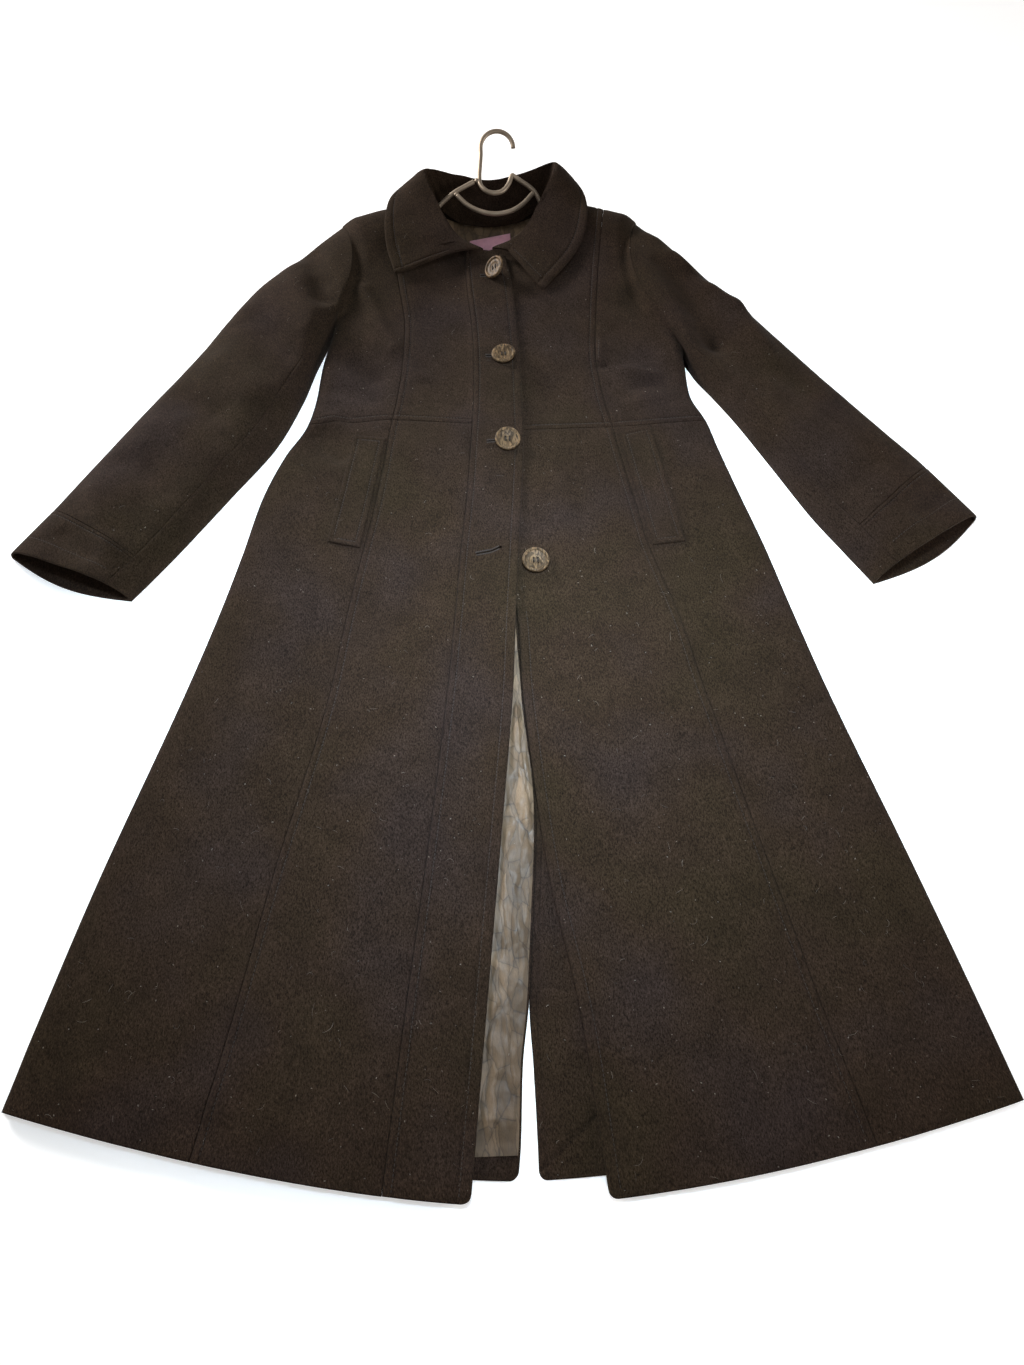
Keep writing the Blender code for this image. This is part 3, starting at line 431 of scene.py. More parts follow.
class CoatColours(bpy.types.PropertyGroup):
    """Colours of the coat's cloth and fittings."""
    wool: FloatVectorProperty(name="Wool", description="Main colour of the wool", subtype="COLOR",
                              default=(0.0182, 0.0110, 0.0070))
    wool_violet: FloatVectorProperty(name="Wool, violet", description="Its cooler patches",
                                     subtype="COLOR", default=(0.0182, 0.0117, 0.0094))
    wool_olive: FloatVectorProperty(name="Wool, olive", description="Its greener patches",
                                    subtype="COLOR", default=(0.0172, 0.0111, 0.0062))
    lining: FloatVectorProperty(name="Lining", description="Colour of the satin lining",
                                subtype="COLOR", default=(0.116, 0.076, 0.044))
    label: FloatVectorProperty(name="Label", description="Colour of the woven label",
                               subtype="COLOR", default=(0.62, 0.31, 0.37))
    horn: FloatVectorProperty(name="Horn", description="Main colour of the buttons",
                              subtype="COLOR", default=(0.074, 0.046, 0.024))
    metal: FloatVectorProperty(name="Hanger metal", description="Colour of the hanger tube",
                               subtype="COLOR", default=(0.33, 0.265, 0.20))
    lint: FloatVectorProperty(name="Lint", description="Colour of hairs and specks",
                              subtype="COLOR", default=(0.12, 0.10, 0.08))
    thread: FloatVectorProperty(name="Thread", description="Colour of the sewing thread",
                                subtype="COLOR", default=(0.013, 0.0085, 0.006))
    floor: FloatVectorProperty(name="Floor", description="Colour of the floor", subtype="COLOR",
                               default=(0.97, 0.97, 0.97))


class CoatLight(bpy.types.PropertyGroup):
    """Strength of the studio light."""
    key_power: FloatProperty(name="Key lamp", description="Power of the large lamp above the collar",
                             default=92.0, unit="POWER")
    fill_power: FloatProperty(name="Fill lamp", description="Power of the lamp above the hem",
                              default=8.0, unit="POWER")
    side_power: FloatProperty(name="Side lamp", default=14.0, unit="POWER",
                              description="Power of the low lamp beside the wearer's left sleeve")
    pool_power: FloatProperty(name="Pool lamp", description="Power of the cool lamp above the skirt",
                              default=3.8, unit="POWER")
    sky: FloatProperty(name="Sky", description="Strength of the even light all round",
                       default=0.25, subtype="FACTOR")
    floor_glow: FloatProperty(name="Floor glow", default=0.35, subtype="FACTOR",
                              description="How much the floor shines by itself, as a light table")


def place(x, down, z):
    """Points in the finished frame, in metres."""
    x, down, z = np.broadcast_arrays(x, down, z)
    return np.stack(((x - MID_X) * MM, (MID_DOWN - down) * MM, z * MM), axis=-1)


def smooth(table, column, key):
    """A smooth curve through one column of a table whose first column is the key."""
    rows = np.array(table, float)
    keys = rows[:, 0]
    values = rows[:, column]
    slopes = np.empty(len(keys))
    slopes[1:-1] = (values[2:] - values[:-2]) / (keys[2:] - keys[:-2])
    slopes[0] = (values[1] - values[0]) / (keys[1] - keys[0])
    slopes[-1] = (values[-1] - values[-2]) / (keys[-1] - keys[-2])
    key = np.clip(key, keys[0], keys[-1])
    i = np.clip(np.searchsorted(keys, key, side="right") - 1, 0, len(keys) - 2)
    span = keys[i + 1] - keys[i]
    t = (key - keys[i]) / span
    return ((2 * t ** 3 - 3 * t ** 2 + 1) * values[i] + (t ** 3 - 2 * t ** 2 + t) * span * slopes[i]
            + (3 * t ** 2 - 2 * t ** 3) * values[i + 1] + (t ** 3 - t ** 2) * span * slopes[i + 1])


def along(points, share):
    """The places at a share of the way through a list of points, on a smooth curve."""
    table = [(i,) + tuple(point) for i, point in enumerate(points)]
    key = np.asarray(share) * (len(points) - 1)
    return [smooth(table, column + 1, key) for column in range(len(points[0]))]


def ease(value):
    """A soft step from 0 to 1."""
    value = np.clip(value, 0.0, 1.0)
    return value * value * (3 - 2 * value)


def ripple(x, y, size, seed):
    """Smooth uneven waves between -1 and 1, from a fixed lattice of random heights."""
    lattice = np.random.default_rng(seed).uniform(-1, 1, (256, 256))
    u = x / size + 60.0
    v = y / size + 60.0
    i = np.floor(u).astype(int)
    j = np.floor(v).astype(int)
    fu = u - i
    fv = v - j
    fu = fu * fu * (3 - 2 * fu)
    fv = fv * fv * (3 - 2 * fv)
    i %= 255
    j %= 255
    low = lattice[i, j] * (1 - fu) + lattice[i + 1, j] * fu
    high = lattice[i, j + 1] * (1 - fu) + lattice[i + 1, j + 1] * fu
    return low * (1 - fv) + high * fv


def cloth_size(name):
    """One size of the cloth's surface, in millimetres."""
    return getattr(bpy.context.scene.coat_cloth, name) / MM


def seam(name, down):
    """The x of a body seam at a distance down the coat."""
    return smooth(BODY, BODY_COLUMNS.index(name), down)


def hem(x):
    """How far down the front hem lies at x."""
    x = np.asarray(x, float)
    share = np.abs(x) / HEM_HALF
    right, left = (drop * share ** power for drop, power in (HEM_SWEEP["right"], HEM_SWEEP["left"]))
    return HEM_DOWN - np.where(x < 0, right, left)


def back_hem(x):
    """The back hem, a little shorter in the middle as it lies."""
    return hem(x) - BACK_SHORTER * np.maximum(0.0, 1 - (np.asarray(x) / HEM_HALF) ** 2)


def shoulder(x):
    """How far down the shoulder line lies at x."""
    return smooth(SHOULDER, 1, x)


def roll_share(distance):
    """How far the cloth has risen at a distance from the shoulder line, from 0 to 1."""
    reach = np.clip(distance / SHOULDER_ROLL, 0.0, 1.0)
    return np.sqrt(1 - (1 - reach) ** SHOULDER_POWER)


def back_lift(x, down):
    """How far the back is lifted off the ground by the hanger near the neck."""
    reach = 1 - (down - shoulder(x)) / NECK_LIFT_REACH
    side = 1 - ease((np.abs(x - CENTRE_X) - 84) / 96)
    middle = ease((np.abs(x - CENTRE_X) - 30) / 46)
    return NECK_LIFT * side * middle * np.clip(reach, 0.0, 1.0) ** 1.5


def back_top(x, down):
    """The upper side of the back panels."""
    return back_lift(x, down) + WOOL


def above_back(x, down):
    """The lowest place for cloth that lies on the back panels."""
    return back_top(x, down) + SEAM_GAP


def above_lining(x, down):
    """The lowest place for cloth that lies on the skirt lining."""
    return back_top(x, down) + LINING + 2 * SEAM_GAP


def beside(x, down, line):
    """How far along a straight line and how far off it each place is, and the line's length."""
    x0, down0, x1, down1 = line
    dx = x1 - x0
    dy = down1 - down0
    length = math.hypot(dx, dy)
    run = ((x - x0) * dx + (down - down0) * dy) / length
    off = ((x - x0) * dy - (down - down0) * dx) / length
    return run, off, length


def fold_height(folds, x, down):
    """The sum of soft folds at each place."""
    total = np.zeros(np.broadcast(x, down).shape)
    for *line, height, width in folds:
        run, off, length = beside(x, down, line)
        past = np.maximum(np.maximum(-run, run - length), 0.0)
        total += height * np.exp(-(off ** 2 + past ** 2) / (2 * width ** 2))
    return total


def front_height(x, down):
    """The upper side of the front, before it rolls down at its sides."""
    crown = smooth(LOFT, 1, down)
    rise = smooth(LOFT, 2, down) * np.minimum(1.0, (np.abs(x - CENTRE_X) / RISE_HALF) ** 2)
    pad_off = (np.abs(x - CENTRE_X) - PAD_X) ** 2 + (down - PAD_DOWN) ** 2
    pad = PAD_HEIGHT * np.exp(-pad_off / (2 * PAD_SPREAD ** 2))
    edge = back_top(x, shoulder(x)) + SEAM_GAP + FLOOR_RIM
    full = crown + rise + pad + fold_height(FOLDS, x, down)
    return edge + (full - edge) * roll_share(down - shoulder(x))


def front_detail(x, down):
    """Creases, broad waves, the doubled hem and the stitched tuck of the fronts."""
    wave = 0.55 * ripple(x, down, 62.0, 3) + 0.3 * ripple(x, down, 27.0, 4)
    wave = wave + 0.12 * ripple(x, down, 11.0, 5)
    total = CREASE_LIFT * fold_height(CREASES, x, down) + cloth_size("waviness") * wave
    for spot_x, spot_down, _, _ in BUTTONS:
        off = np.hypot(x - spot_x, down - spot_down) - BUTTON_RADIUS
        total = total * ease(off / BUTTON_CALM)
    total = total * ease((down - shoulder(x)) / 40)
    to_fold = hem(x) - down - HEM_FOLD
    total += 0.55 * (1 - ease(to_fold / 3.0)) - 0.35 * np.exp(-((to_fold - 2) / 3) ** 2)
    x0, down0, x1, down1 = TUCK
    run = np.clip((down - down0) / (down1 - down0), 0, 1)
    off = x - (x0 + (x1 - x0) * run)
    beyond = np.maximum(down0 - down, 0) + np.maximum(down - down1, 0)
    total += 2.2 * np.exp(-((off - 4) / 4.0) ** 4 - (beyond / 3.0) ** 2)
    total -= 3.4 * np.exp(-((off - 7) / 8.0) ** 2 - ((down - down1 - 6) / 5.0) ** 2)
    return total


def lap_rise(x, down):
    """How much higher the right front lies where the left front is under it."""
    return LAP_RISE * ease((x - seam("left_edge", down) + 15) / 12)


def sleeve_point(side, share, w, top, inset):
    """Places of a sleeve: w runs from the outer to the inner edge, inset goes into the wall."""
    values = dict(zip(SLEEVE_COLUMNS, along(SLEEVE[side], share)))
    chord_x = values["inner_x"] - values["outer_x"]
    chord_y = values["inner_down"] - values["outer_down"]
    length = np.hypot(chord_x, chord_y)
    unit_x = chord_x / length
    unit_y = chord_y / length
    cross_x = unit_y
    cross_y = -unit_x
    flip = np.where(cross_x * values["outer_x"] < 0, -1.0, 1.0)
    cross_x = cross_x * flip
    cross_y = cross_y * flip
    across = inset + (length - 2 * inset) * w
    bow = -values["bow"] * 4 * w * (1 - w) + SEAM_GAP * (share <= 0)
    bow = bow + (~np.asarray(top)) * CUFF_LIP * np.sin(np.pi * w) * np.clip((share - 13 / 14) * 14, 0, 1)
    x = values["outer_x"] + unit_x * across + cross_x * bow
    down = values["outer_down"] + unit_y * across + cross_y * bow
    profile = np.sqrt(np.maximum(0.0, 1 - np.abs(2 * w - 1) ** SLEEVE_POWER))
    z = inset + np.where(top, (values["height"] - 2 * inset) * profile, 0.0)
    return x, down, z


def spread(width, step, start, end):
    """Distances across rows of a given width: close at the given ends, even between them."""
    width = np.atleast_1d(np.asarray(width, float))[:, None]
    head = np.array(start)
    tail = np.array(end)[::-1]
    room = width - head[-1] - tail[0]
    count = max(2, int(round(room.max() / step)))
    middle = head[-1] + room * np.arange(1, count)[None, :] / count
    ones = np.ones_like(width)
    return np.concatenate((ones * head, middle, width - ones * tail), axis=1)


def edge_dip(distance):
    """How far the cloth's upper side sinks near a seam or an edge at a distance."""
    radius = cloth_size("edge_round")
    inside = np.clip(radius - distance, 0.0, radius)
    curve = radius - np.sqrt(radius ** 2 - inside ** 2)
    return curve + cloth_size("seam_dip") * np.exp(-(distance / 4.0) ** 2)


def end_dip(rows, length):
    """How far the upper side sinks near the first and the last row of a panel."""
    return (edge_dip(rows) + edge_dip(length - rows))[:, None]


def stitch_groove(distance, inset):
    """The soft groove under a stitch line, and the swelling between it and the edge."""
    swelling = SWELLING * np.sin(np.pi * np.clip(distance / inset, 0, 1))
    return cloth_size("stitch_dip") * np.exp(-((distance - inset) / 1.1) ** 2) - swelling


def rounded_corner(x, down, to_edge, to_hem, side, radius=CORNER):
    """Pull the points of a square corner in, so that it is rounded."""
    u = np.clip(1 - to_edge / radius, 0, 1)
    v = np.clip(1 - to_hem / radius, 0, 1)
    pull = radius * (1 - np.maximum(u, v) / np.maximum(np.hypot(u, v), 1e-6))
    return x + side * u * pull, down - v * pull


def shell_mesh(name, outer, inner):
    """A closed mesh between two grids of points that have the same rows and columns."""
    rows, cols = outer.shape[:2]
    index = np.arange(rows * cols).reshape(rows, cols)
    far = rows * cols
    a = index[:-1, :-1].ravel()
    b = index[:-1, 1:].ravel()
    c = index[1:, 1:].ravel()
    d = index[1:, :-1].ravel()
    rim = np.concatenate((index[0], index[1:, -1], index[-1, -2::-1], index[-2:0:-1, 0]))
    following = np.roll(rim, -1)
    quads = np.concatenate((
        np.stack((a, b, c, d), axis=1),
        np.stack((a, d, c, b), axis=1) + far,
        np.stack((following, rim, rim + far, following + far), axis=1),
    ))
    points = np.concatenate((outer.reshape(-1, 3), inner.reshape(-1, 3)))
    return mesh_from(name, points, quads)


def mesh_from(name, points, polygons):
    """A mesh from points and quads, turned so that its faces point outward."""
    corners = points[polygons]
    volume = np.einsum("ij,ij->i", corners[:, 0], np.cross(corners[:, 1], corners[:, 2])).sum()
    volume += np.einsum("ij,ij->i", corners[:, 0], np.cross(corners[:, 2], corners[:, -1])).sum()
    if volume < 0:
        polygons = polygons[:, ::-1]
    mesh = bpy.data.meshes.new(name)
    mesh.vertices.add(len(points))
    mesh.vertices.foreach_set("co", points.astype(np.float32).ravel())
    sides = polygons.shape[1]
    mesh.loops.add(polygons.size)
    mesh.loops.foreach_set("vertex_index", polygons.astype(np.int32).ravel())
    mesh.polygons.add(len(polygons))
    mesh.polygons.foreach_set("loop_start", np.arange(0, polygons.size, sides, dtype=np.int32))
    mesh.update(calc_edges=True)
    mesh.validate()
    return mesh


def new_piece(name, mesh, material, nodes=(), sharp=50.0):
    """An object of the coat that rides with it and stands for its solids."""
    mesh.shade_smooth()
    mesh.set_sharp_from_angle(angle=math.radians(sharp))
    mesh.materials.append(material)
    piece = bpy.data.objects.new(name, mesh)
    bpy.context.scene.collection.objects.link(piece)
    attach(piece, "root")
    if nodes:
        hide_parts(*nodes)
    MADE[name] = piece
    return piece


def cut_size(x, down, z):
    """The width, length and area of a panel before it was laid, in metres."""
    points = np.stack(np.broadcast_arrays(x, down, z), axis=-1) * MM
    across = np.linalg.norm(np.diff(points, axis=1), axis=2).sum(axis=1).max()
    length = np.linalg.norm(np.diff(points, axis=0), axis=2).sum(axis=0).max()
    one = points[1:, :-1] - points[:-1, :-1]
    other = points[:-1, 1:] - points[:-1, :-1]
    area = np.linalg.norm(np.cross(one, other), axis=2).sum()
    return float(across), float(length), float(min(area, across * length))


def cloth_piece(node, outer, inner, size, finish="wool", holes=None):
    """A closed piece of cloth between two grids of points; the size it was cut to is passed in but not
    used.
    """
    name = "cloth_" + node
    piece = new_piece(name, shell_mesh(name, outer, inner), finish_of(finish), (node,))
    if holes is not None:
        holes(piece)


def steepness(x, down, z):
    """How much longer a vertical cut through the wall is than the wall is thick."""
    total = np.zeros_like(z)
    for axis in (0, 1):
        run = np.hypot(np.gradient(x, axis=axis), np.gradient(down, axis=axis))
        total += (np.gradient(z, axis=axis) / np.maximum(run, 0.01)) ** 2
    return np.minimum(np.sqrt(1 + total), STEEPEST)


def laid_cloth(node, x, down, z, dip, floor, finish="wool", thick=WOOL, holes=None):
    """A cloth panel from its upper side; its lower side never sinks below the floor function."""
    low = np.maximum(z - thick * steepness(x, down, z), floor(x, down))
    top = np.maximum(z - dip, low + THINNEST * min(thick, 1.0))
    cloth_piece(node, place(x, down, top), place(x, down, low), cut_size(x, down, z),
                finish, holes)


def rolled_columns(width, step, start, steps):
    """Distances across a panel that rolls down at its outer side, and how level it lies there."""
    roll = np.minimum(EDGE_ROLL, width * 0.5)
    flat = spread(width - roll, step, start, (0.0,))
    turn = np.linspace(0, math.pi / 2, steps)[None, 1:]
    bend = width[:, None] - roll[:, None] * (1 - np.sin(turn))
    across = np.concatenate((flat, bend), axis=1)
    return across, np.concatenate((np.ones_like(flat), np.cos(turn) * np.ones_like(bend)), axis=1)


def skirt_panel(node, inner_seam, outer_seam, rolled, lapped, floor):
    """A skirt panel between two seams, from the waist to the hem."""
    step = cloth_size("point_step")
    length = SKIRT_LENGTH
    rows = spread(length, step, NEAR_EDGE, NEAR_EDGE)[0]
    share = (rows / length)[:, None]
    spots = []
    for name in (inner_seam, outer_seam):
        foot = hem(seam(name, HEM_DOWN - 40))
        down = WAIST[name] + JOIN_GAP / 2 + (foot - WAIST[name]) * share
        spots.append((seam(name, down), down))
    width = np.abs(spots[1][0] - spots[0][0])[:, 0]
    edge = inner_seam.endswith("edge")
    start = NEAR_EDGE_STITCHES if edge else NEAR_EDGE
    if rolled:
        across, level = rolled_columns(width, step, start, 11)
    else:
        across = spread(width, step, start, NEAR_STITCHES)
        level = np.ones_like(across)
    half = JOIN_GAP / 2
    fit = (half + across * (1 - (half if rolled else 2 * half) / width[:, None])) / width[:, None]
    x = spots[0][0] + (spots[1][0] - spots[0][0]) * fit
    down = spots[0][1] + (spots[1][1] - spots[0][1]) * fit
    foot = down[-1:]
    down = down + (hem(x) - foot) * np.clip((share - SKIRT_LAST) / (1 - SKIRT_LAST), 0, 1)
    if edge:
        x, down = rounded_corner(x, down, across, length - rows[:, None], 1)
    rim = above_back(x, down) + FLOOR_RIM
    full = front_height(x, down) + front_detail(x, down) * level ** 0.5
    z = rim + (np.maximum(full, rim) - rim) * level
    if lapped:
        z = z + lap_rise(x, down)
    dip = end_dip(rows, length) + edge_dip(across)
    if not rolled:
        dip = dip + edge_dip(width[:, None] - across)
        dip = dip + stitch_groove(width[:, None] - across, STITCH_INSET)
    if edge:
        dip = dip + stitch_groove(across, EDGE_STITCH_INSET)
    laid_cloth(node, x, down, z, dip * np.maximum(level, 0.15), floor)


def side_bodice(side):
    """A side bodice panel: shoulder, armhole and side seam to the waist."""
    step = cloth_size("point_step")
    princess = side + "_princess"
    outer = side + "_side"
    armpit = SLEEVE[side][0][3]
    top = SLEEVE[side][0][1]
    waist_in = WAIST[princess] - JOIN_GAP / 2
    waist_out = WAIST[outer]
    arm_share = (armpit - top) / (waist_out - top)
    start = seam(princess, -40.0)
    length = waist_in - shoulder(start)
    rows = spread(length, step, NEAR_EDGE, NEAR_STITCHES)[0]
    share = (rows / length)[:, None]
    in_down = shoulder(start) + length * share
    in_x = np.where(in_down < shoulder(start) + 1, start, seam(princess, in_down))
    arm_x, arm_down, arm_z = sleeve_point(side, np.zeros_like(share),
                                          np.clip(share / arm_share, 0, 1), True, 0.0)
    low_down = armpit + (waist_out - JOIN_GAP / 2 - armpit) * (share - arm_share) / (1 - arm_share)
    in_arm = share < arm_share
    out_x = np.where(in_arm, arm_x, seam(outer, low_down))
    out_x = out_x - np.sign(out_x) * ARMHOLE_GAP * ease((arm_share * 1.02 - share) / (0.02 * arm_share))
    out_down = np.where(in_arm, arm_down, low_down)
    out_z = np.where(in_arm, arm_z, 0.0)
    width = np.abs(out_x - in_x)
    across, level = rolled_columns(width[:, 0], step, NEAR_EDGE, 12)
    half = JOIN_GAP / 2
    fit = (half + across * (1 - half / width)) / width
    x = in_x + (out_x - in_x) * fit
    down = in_down + (out_down - in_down) * fit
    rim = np.maximum(above_back(x, down) + FLOOR_RIM, out_z * fit ** ARMHOLE_RISE)
    full = front_height(x, down) + front_detail(x, down) * level ** 0.5
    z = rim + (np.maximum(full, rim) - rim) * level
    dip = edge_dip(across) + end_dip(rows, length)
    dip = dip + stitch_groove(length - rows, STITCH_INSET)[:, None]
    laid_cloth("front_" + side + "_side_bodice", x, down, z, dip * np.maximum(level, 0.15),
               above_back)


def bodice(side, outer, top_points, lapped):
    """A bodice panel beside the front opening, from the neck to the waist."""
    step = cloth_size("point_step")
    princess = side + "_princess"
    start = seam(princess, -40.0)
    start_down = shoulder(start)
    inner_end = top_points[-1]
    waist_in = WAIST[outer]
    foot_out_down = WAIST[princess]
    length = foot_out_down - JOIN_GAP / 2 - start_down
    rows = spread(length, step, NEAR_EDGE, NEAR_STITCHES)[0]
    share = (rows / length)[:, None]
    width_mean = abs(seam(outer, 200.0) - seam(princess, 200.0))
    edge = outer.endswith("edge")
    columns = spread(width_mean, step, NEAR_STITCHES, NEAR_EDGE_STITCHES if edge else NEAR_EDGE)
    across = columns / width_mean
    split = FRONT_NECK_SHARE
    neck_x = top_points[0][0]
    head_x = start + (neck_x - start) * across / split
    head_down = shoulder(head_x)
    neck_curve = along(top_points, np.clip((across - split) / (1 - split), 0, 1))
    head_x = np.where(across <= split, head_x, neck_curve[0])
    head_down = np.where(across <= split, head_down, neck_curve[1])
    foot_down = foot_out_down + (waist_in - foot_out_down) * across
    down = head_down + (foot_down - JOIN_GAP / 2 - head_down) * share
    out_down = start_down + (foot_out_down - start_down) * share
    in_down = inner_end[1] + (waist_in - inner_end[1]) * share
    x_out = np.where(out_down < start_down + 1, start, seam(princess, out_down))
    x_in = seam(outer, in_down)
    line = x_out + (x_in - x_out) * across
    head_line = start + (seam(outer, float(inner_end[1])) - start) * across
    x = line + (head_x - head_line) * (1 - share) ** 2
    x = x + np.sign(x_in - x_out) * JOIN_GAP / 2 * (1 - 2 * across)
    z = front_height(x, down) + front_detail(x, down)
    if lapped:
        z = z + lap_rise(x, down)
    reach = np.abs(x_in - x_out) / width_mean
    dip = edge_dip(columns * reach) + edge_dip((width_mean - columns) * reach)
    dip = dip + end_dip(rows, length) + stitch_groove(columns, STITCH_INSET)
    dip = dip + stitch_groove(length - rows, STITCH_INSET)[:, None]
    if edge:
        dip = dip + stitch_groove(width_mean - columns, EDGE_STITCH_INSET)
    laid_cloth("front_" + side + "_bodice", x, down, z, dip, above_back)


def front_band():
    """The right front band, one strip from the neck to the hem that laps over the left front."""
    step = cloth_size("point_step")
    length = BAND_LENGTH
    rows = spread(length, step * 0.8, NEAR_EDGE, NEAR_EDGE)[0]
    share = (rows / length)[:, None]
    width = BAND_WIDTH
    columns = spread(width, step * 0.8, NEAR_STITCHES, NEAR_EDGE_STITCHES)
    across = columns / width
    head_x, head_down = along(NECK_BAND, across)
    foot = hem(seam("band_seam", HEM_DOWN) * (1 - across) + seam("right_edge", HEM_DOWN) * across)
    down = head_down + (foot - head_down) * share
    x_in = seam("band_seam", down) + JOIN_GAP / 2
    x_out = seam("right_edge", down)
    x = x_in + (x_out - x_in) * across
    x, down = rounded_corner(x, down, width - columns, length - rows[:, None], -1)
    z = front_height(x, down) + front_detail(x, down) + lap_rise(x, down)
    dip = edge_dip(columns) + edge_dip(width - columns) + end_dip(rows, length)
    dip = dip + stitch_groove(columns, STITCH_INSET) + stitch_groove(width - columns, EDGE_STITCH_INSET)
    for spot_x, spot_down, turn in BUTTONHOLES:
        angle = math.radians(turn)
        run = (x - spot_x) * math.cos(angle) - (down - spot_down) * math.sin(angle)
        off = (x - spot_x) * math.sin(angle) + (down - spot_down) * math.cos(angle)
        past = np.maximum(np.abs(run) - BUTTONHOLE_LENGTH / 2, 0)
        dip = dip - 0.7 * np.exp(-(np.abs(off) - 3.2) ** 2 / 5.0 - past ** 2 / 8.0)
    laid_cloth("front_right_band", x, down, z, dip, above_lining,
               holes=slit_buttonholes)


def slit_buttonholes(piece):
    """Cut the four buttonholes through the band."""
    shapes = bmesh.new()
    for x, down, turn in BUTTONHOLES:
        spot = Matrix.Translation(Vector(place(x, down, 15.0)))
        spot = spot @ Matrix.Rotation(math.radians(turn), 4, "Z")
        slit = Matrix.Diagonal((BUTTONHOLE_LENGTH * MM, BUTTONHOLE_SLIT * MM, CUT_DEPTH * MM, 1))
        bmesh.ops.create_cube(shapes, size=1.0, matrix=spot @ slit)
        eye = Matrix.Translation((BUTTONHOLE_LENGTH / 2 * MM, 0, 0))
        bmesh.ops.create_cone(shapes, cap_ends=True, segments=16, radius1=BUTTONHOLE_EYE * MM,
                              radius2=BUTTONHOLE_EYE * MM, depth=CUT_DEPTH * MM, matrix=spot @ eye)
    cut_with(piece, shapes)


def cut_with(piece, shapes):
    """Take shapes out of a piece and keep the result as its mesh."""
    mesh = bpy.data.meshes.new("cut")
    shapes.to_mesh(mesh)
    shapes.free()
    cutter = bpy.data.objects.new("cut", mesh)
    bpy.context.scene.collection.objects.link(cutter)
    cut = piece.modifiers.new("cut", "BOOLEAN")
    cut.operation = "DIFFERENCE"
    cut.solver = "EXACT"
    cut.use_self = True
    cut.object = cutter
    graph = bpy.context.evaluated_depsgraph_get()
    result = bpy.data.meshes.new_from_object(piece.evaluated_get(graph))
    piece.modifiers.clear()
    piece.data = result
    bpy.data.objects.remove(cutter, do_unlink=True)


def back_half(side):
    """One back panel, from the neck and shoulder to the hem."""
    step = cloth_size("point_step")
    sign = -1 if side == "right" else 1
    column = 1 if side == "right" else 2
    armpit = SLEEVE[side][0][3]
    top = SLEEVE[side][0][1]
    neck = BACK_NECK if side == "right" else tuple(reversed(BACK_NECK))
    length = BACK_LENGTH
    upper = spread(VENT_ROWS, step * 2, NEAR_EDGE, (0.0,))[0]
    lower = VENT_ROWS + spread(length - VENT_ROWS, 2.6, (0.0,), NEAR_STITCHES)[0, 1:]
    rows = np.concatenate((upper, lower))
    share = (rows / length)[:, None]
    width = BACK_WIDTH
    near = spread(VENT_FINE_WIDTH, 2.0, NEAR_STITCHES, (0.0,))
    far = spread(width - VENT_FINE_WIDTH, step * 2, (0.0,), NEAR_EDGE)[:, 1:]
    columns = np.concatenate((near, VENT_FINE_WIDTH + far), axis=1)
    across = columns / width
    split = BACK_NECK_SHARE
    neck_x, neck_down = along(neck, np.clip(0.5 - 0.5 * across / split, 0, 1))
    tip_x = SLEEVE[side][0][0] - sign * SEAM_GAP
    line_x = neck[0][0] + (tip_x - neck[0][0]) * (across - split) / (1 - split)
    head_x = np.where(across <= split, neck_x, line_x)
    head_down = np.where(across <= split, neck_down, shoulder(line_x))
    middle_down = head_down + (back_hem(0.0) - head_down) * share
    apart = np.where(middle_down < VENT_OPEN, VENT_CLOSED_GAP, SEAM_GAP / 2)
    middle = smooth(VENT, column, middle_down) + sign * apart
    total = back_hem(sign * HEM_HALF)
    side_down = top + (total - top) * share
    arm_x, arm_down, _ = sleeve_point(side, np.zeros_like(share),
                                      np.clip((side_down - top) / (armpit - top), 0, 1), True, 0.0)
    in_arm = side_down < armpit
    outer = np.where(in_arm, arm_x - sign * ARMHOLE_GAP, seam(side + "_side", side_down))
    side_down = np.where(in_arm, arm_down, side_down)
    x_head = smooth(VENT, column, head_down)
    x_head = x_head + (SLEEVE[side][0][0] - x_head) * across
    x = middle + (outer - middle) * across + (head_x - x_head) * (1 - share) ** 6
    down = head_down + (back_hem(x) - head_down) * share
    last = np.clip((share - BACK_LAST) / (1 - BACK_LAST), 0, 1)
    down = down + (side_down - down) * across ** 2 * (1 - last)
    x, down = rounded_corner(x, down, columns, length - rows[:, None], sign)
    z = back_top(x, down)
    dip = edge_dip(columns) + edge_dip(width - columns) + end_dip(rows, length)
    dip = dip + stitch_groove(columns, STITCH_INSET) * (down > 780)
    dip = dip + 0.25 * (1 + ripple(x, down, 38.0, 11)) + 0.1 * (1 + ripple(x, down, 14.0, 12))
    if side == "left":
        run, off, long = beside(x, down, MITRE)
        dip = dip + 1.6 * np.exp(-(off / 1.7) ** 2) * (run < long + 12) * (run > -9)
        bent = down - BACK_FOLD - 3 * ripple(x, down, 20.0, 13)
        dip = dip + 1.2 * np.exp(-(bent / 1.8) ** 2) * (x < 60)
        edge = x - 30 - 0.12 * (down - 900)
        dip = dip + 1.1 * np.exp(-(edge / 3.5) ** 2) * (down < 960) * (down > 800)
    laid_cloth("back_" + side, x, down, z, dip, back_lift)


